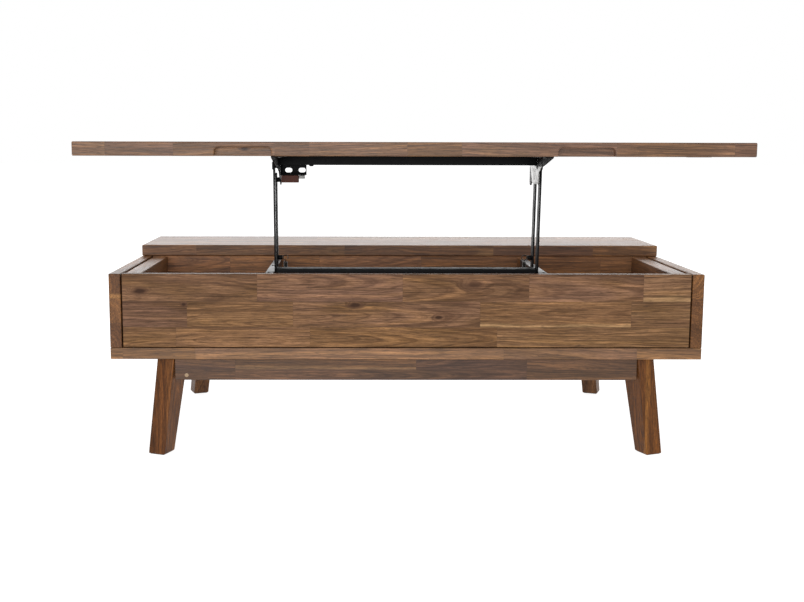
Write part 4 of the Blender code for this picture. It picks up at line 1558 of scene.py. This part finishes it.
    def build_spring(self, half: str, label: str, body: str, side: float) -> None:
        """One half of a spring.

        Args:
            half: "upper" or "lower", which is also where its hook is.
            label: the side's name.
            body: the body that it rides on.
            side: -1 on the left, 1 on the right.
        """
        node = f"spring_{half}_{label}"
        upper = half == "upper"
        work = merged_copy(node)
        heights = [v.co.z for v in work.verts]
        work.free()
        top, foot = (sum(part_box(pin + label), Vector((0.0, 0.0, 0.0))) / 2
                     for pin in ("spring_tab_", "spring_anchor_"))
        up = Vector((0.0, top.y - foot.y, top.z - foot.z)).normalized()
        low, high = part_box("spring_lower_" + label)
        held = top if upper else foot
        centre = Vector(((low.x + high.x) / 2, held.y, held.z))
        hook = self.hook_radius[0] if upper else self.hook_radius[1]
        reach = hook + self.hook_stem
        if upper:
            end = (centre.z - min(heights)) / up.z
            start = centre - up * (end - self.coil_gap)
            length = end - reach - self.coil_short[0]
        else:
            start = centre + up * reach
            length = (max(heights) - centre.z) / up.z - reach - self.coil_short[1]
        turn = Vector((0.0, 0.0, 1.0)).rotation_difference(up).to_euler()
        coil = evaluated_nodes(node + "_coil", coil_tree(), bpy.data.meshes.new(node + "_seed"), {
            "Turns": length / (self.coil_wire * self.coil_pitch), "Height": length,
            "Radius": self.coil_radius - self.coil_wire, "Wire": self.coil_wire, "Place": start,
            "Turn": turn, "Material": SPRING_WIRE.material()})
        across = Vector((side, 0.0, 0.0)) if upper else Vector((0.0, up.z, -up.y))
        out = -up if upper else up
        angles = (math.radians(self.hook_sweep) * i / self.hook_steps
                  for i in range(self.hook_steps + 1))
        arcs = [centre + (across * math.sin(a) + out * math.cos(a)) * hook for a in angles]
        stem = [centre + out * reach, centre + out * (hook + self.hook_neck)]
        ring = tube_mesh(node + "_hook", stem + arcs, self.hook_wire)
        show(node + "_wound", joined(node + "_wound", coil, ring), body,
             (SPRING_WIRE.material(), TAN_WIRE.material()), (node,))

    def build_fittings(self) -> None:
        """Rubber bumper, zinc clip and plate, and a bolt head under the bar."""
        show("bumper_rubber", Bumper().mesh(), "lid",
             (RUBBER.material(),), ("bumper_block",))
        show("clip_zinc", eased("zinc_clip", self.clip_ease, 3), "lid",
             (ZINC.material(),), ("zinc_clip",))
        show("plate_zinc", eased("zinc_plate_right", self.plate_ease, 2), "lid",
             (ZINC.material(),), ("zinc_plate_right",))
        low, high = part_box("upper_cross_bar")
        inset, sunk = self.bolt_place
        place = Vector((low.x + inset, (low.y + high.y) / 2, low.z + sunk))
        bolt = lathe("bar_bolt", [(0.0, 0.0045), (0.0016, 0.0045), (0.0026, 0.0038),
                                  (0.0031, 0.0020)], place, Vector((0.0, 0.0, -1.0)))
        show("bar_bolt", bolt, "lid", (BLACK_STEEL.material(),))

    def build(self) -> None:
        """Builds the whole lifting frame."""
        self.build_arms()
        self.build_brackets()
        self.build_rivets()
        self.build_screws()
        self.build_springs()
        self.build_fittings()


@dataclass
class Feet:
    """Felt glides under the legs, and the stop pad under the slab."""

    ease: float = 0.0006

    def build(self) -> None:
        """Builds the glides and the pad."""
        for row in ("front", "back"):
            for label, _ in SIDES:
                node = f"foot_glide_{row}_{label}"
                show(node + "_felt", eased(node, self.ease, 2), "base",
                     (FELT.material(),), (node,))
        frame["nodes"]["stop_pad_right"].data.materials.clear()
        frame["nodes"]["stop_pad_right"].data.materials.append(FELT.material())


# ------------------------------------------------------------------ studio


@dataclass(frozen=True)
class Lamp:
    """A broad soft panel of light, aimed at the table.

    Attributes:
        name: its name.
        place: where it hangs.
        size: its width and height.
        power: its power in watts.
        target: the place that it is aimed at.
    """

    name: str
    place: Place
    size: tuple[float, float]
    power: float
    target: Place = (0.0, 0.0, 0.4)

    def hang(self) -> None:
        """Puts the lamp in the scene, out of the camera's sight."""
        data = bpy.data.lights.new(self.name, "AREA")
        data.shape = "RECTANGLE"
        data.size, data.size_y = self.size
        data.energy = self.power
        lamp = placed(self.name, data)
        lamp.location = self.place
        aim = Vector(self.target) - Vector(self.place)
        lamp.rotation_euler = aim.to_track_quat("-Z", "Y").to_euler()
        lamp.visible_camera = False


LAMPS = (Lamp("behind", (0.0, 4.5, 1.3), (8.0, 2.6), 140.0),
         Lamp("front", (-0.8, -4.2, 1.2), (2.6, 1.8), 95.0),
         Lamp("overhead", (0.2, -0.3, 3.2), (3.0, 2.0), 25.0))


@dataclass
class Studio:
    """Camera, soft light and a pale floor."""

    camera_x: float = -0.1054
    camera_ahead: float = 2.198
    camera_height: float = 0.6358
    pitch: float = 0.1395
    yaw: float = -0.0076
    roll: float = 0.0024
    lens: float = 49.33
    shift_x: float = 0.0485
    shift_y: float = -0.0045
    world_light: float = 0.80
    backdrop: float = 1.0
    floor_glow: float = 0.88
    floor_half: float = 30.0
    floor_tone: tuple[float, float] = (0.38, 0.42)
    sensor: float = 36.0
    clip: tuple[float, float] = (0.05, 100.0)

    def build_camera(self) -> None:
        """The camera, level with the raised slab and looking slightly down."""
        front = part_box("bottom_panel")[0].y
        right = Vector((math.cos(self.yaw), math.sin(self.yaw), 0.0))
        level = Vector((-math.sin(self.yaw), math.cos(self.yaw), 0.0))
        ahead = level * math.cos(self.pitch) - Vector((0.0, 0.0, math.sin(self.pitch)))
        up = right.cross(ahead)
        rolled = right * math.cos(self.roll) + up * math.sin(self.roll)
        rolled_up = up * math.cos(self.roll) - right * math.sin(self.roll)
        data = bpy.data.cameras.new("camera")
        data.sensor_width = self.sensor
        data.lens = self.lens
        data.shift_x = self.shift_x
        data.shift_y = self.shift_y
        data.clip_start, data.clip_end = self.clip
        camera = placed("camera", data)
        basis = Matrix((rolled, rolled_up, -ahead)).transposed().to_4x4()
        place = Vector((self.camera_x, front - self.camera_ahead, self.camera_height))
        camera.matrix_world = Matrix.Translation(place) @ basis
        bpy.context.scene.camera = camera

    def build_light(self) -> None:
        """A white room, with broad soft panels behind, in front and overhead."""
        world = bpy.data.worlds.new("studio")
        world.use_nodes = True
        back = world.node_tree.nodes["Background"]
        back.inputs["Color"].default_value = grey(1.0)
        g = Graph(world.node_tree)
        seen = g.add("ShaderNodeLightPath").outputs["Is Camera Ray"]
        g.put(g.math("MULTIPLY_ADD", seen, self.backdrop - self.world_light, self.world_light),
              back.inputs["Strength"])
        bpy.context.scene.world = world
        for lamp in LAMPS:
            lamp.hang()

    def build_floor(self) -> None:
        """A wide pale floor."""
        work = bmesh.new()
        bmesh.ops.create_grid(work, x_segments=1, y_segments=1, size=self.floor_half)
        mesh = bpy.data.meshes.new("floor")
        work.to_mesh(mesh)
        work.free()
        material, g, shader = new_material("pale_floor")
        speck = g.noise(g.add("ShaderNodeTexCoord").outputs["Object"], 3.0, 3.0, 0.5)
        tone = g.remap(speck, 0.3, 0.7, *self.floor_tone)
        g.put(g.vector(tone, tone, tone), shader.inputs["Base Color"])
        shader.inputs["Roughness"].default_value = 0.9
        shader.inputs["Specular IOR Level"].default_value = 0.0
        shader.inputs["Emission Color"].default_value = grey(1.0)
        shader.inputs["Emission Strength"].default_value = self.floor_glow
        mesh.materials.append(material)
        floor = placed("floor", mesh)

    def build(self) -> None:
        """Builds the studio round the table."""
        self.build_camera()
        self.build_light()
        self.build_floor()
        bpy.context.scene.view_settings.view_transform = "Standard"


def main() -> None:
    """Builds the studio and the table."""
    logging.basicConfig(level=logging.INFO, format="%(name)s: %(message)s")
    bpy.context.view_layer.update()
    Studio().build()
    Woodwork().build()
    LiftingFrame().build()
    Feet().build()


if __name__ == "__main__":
    main()
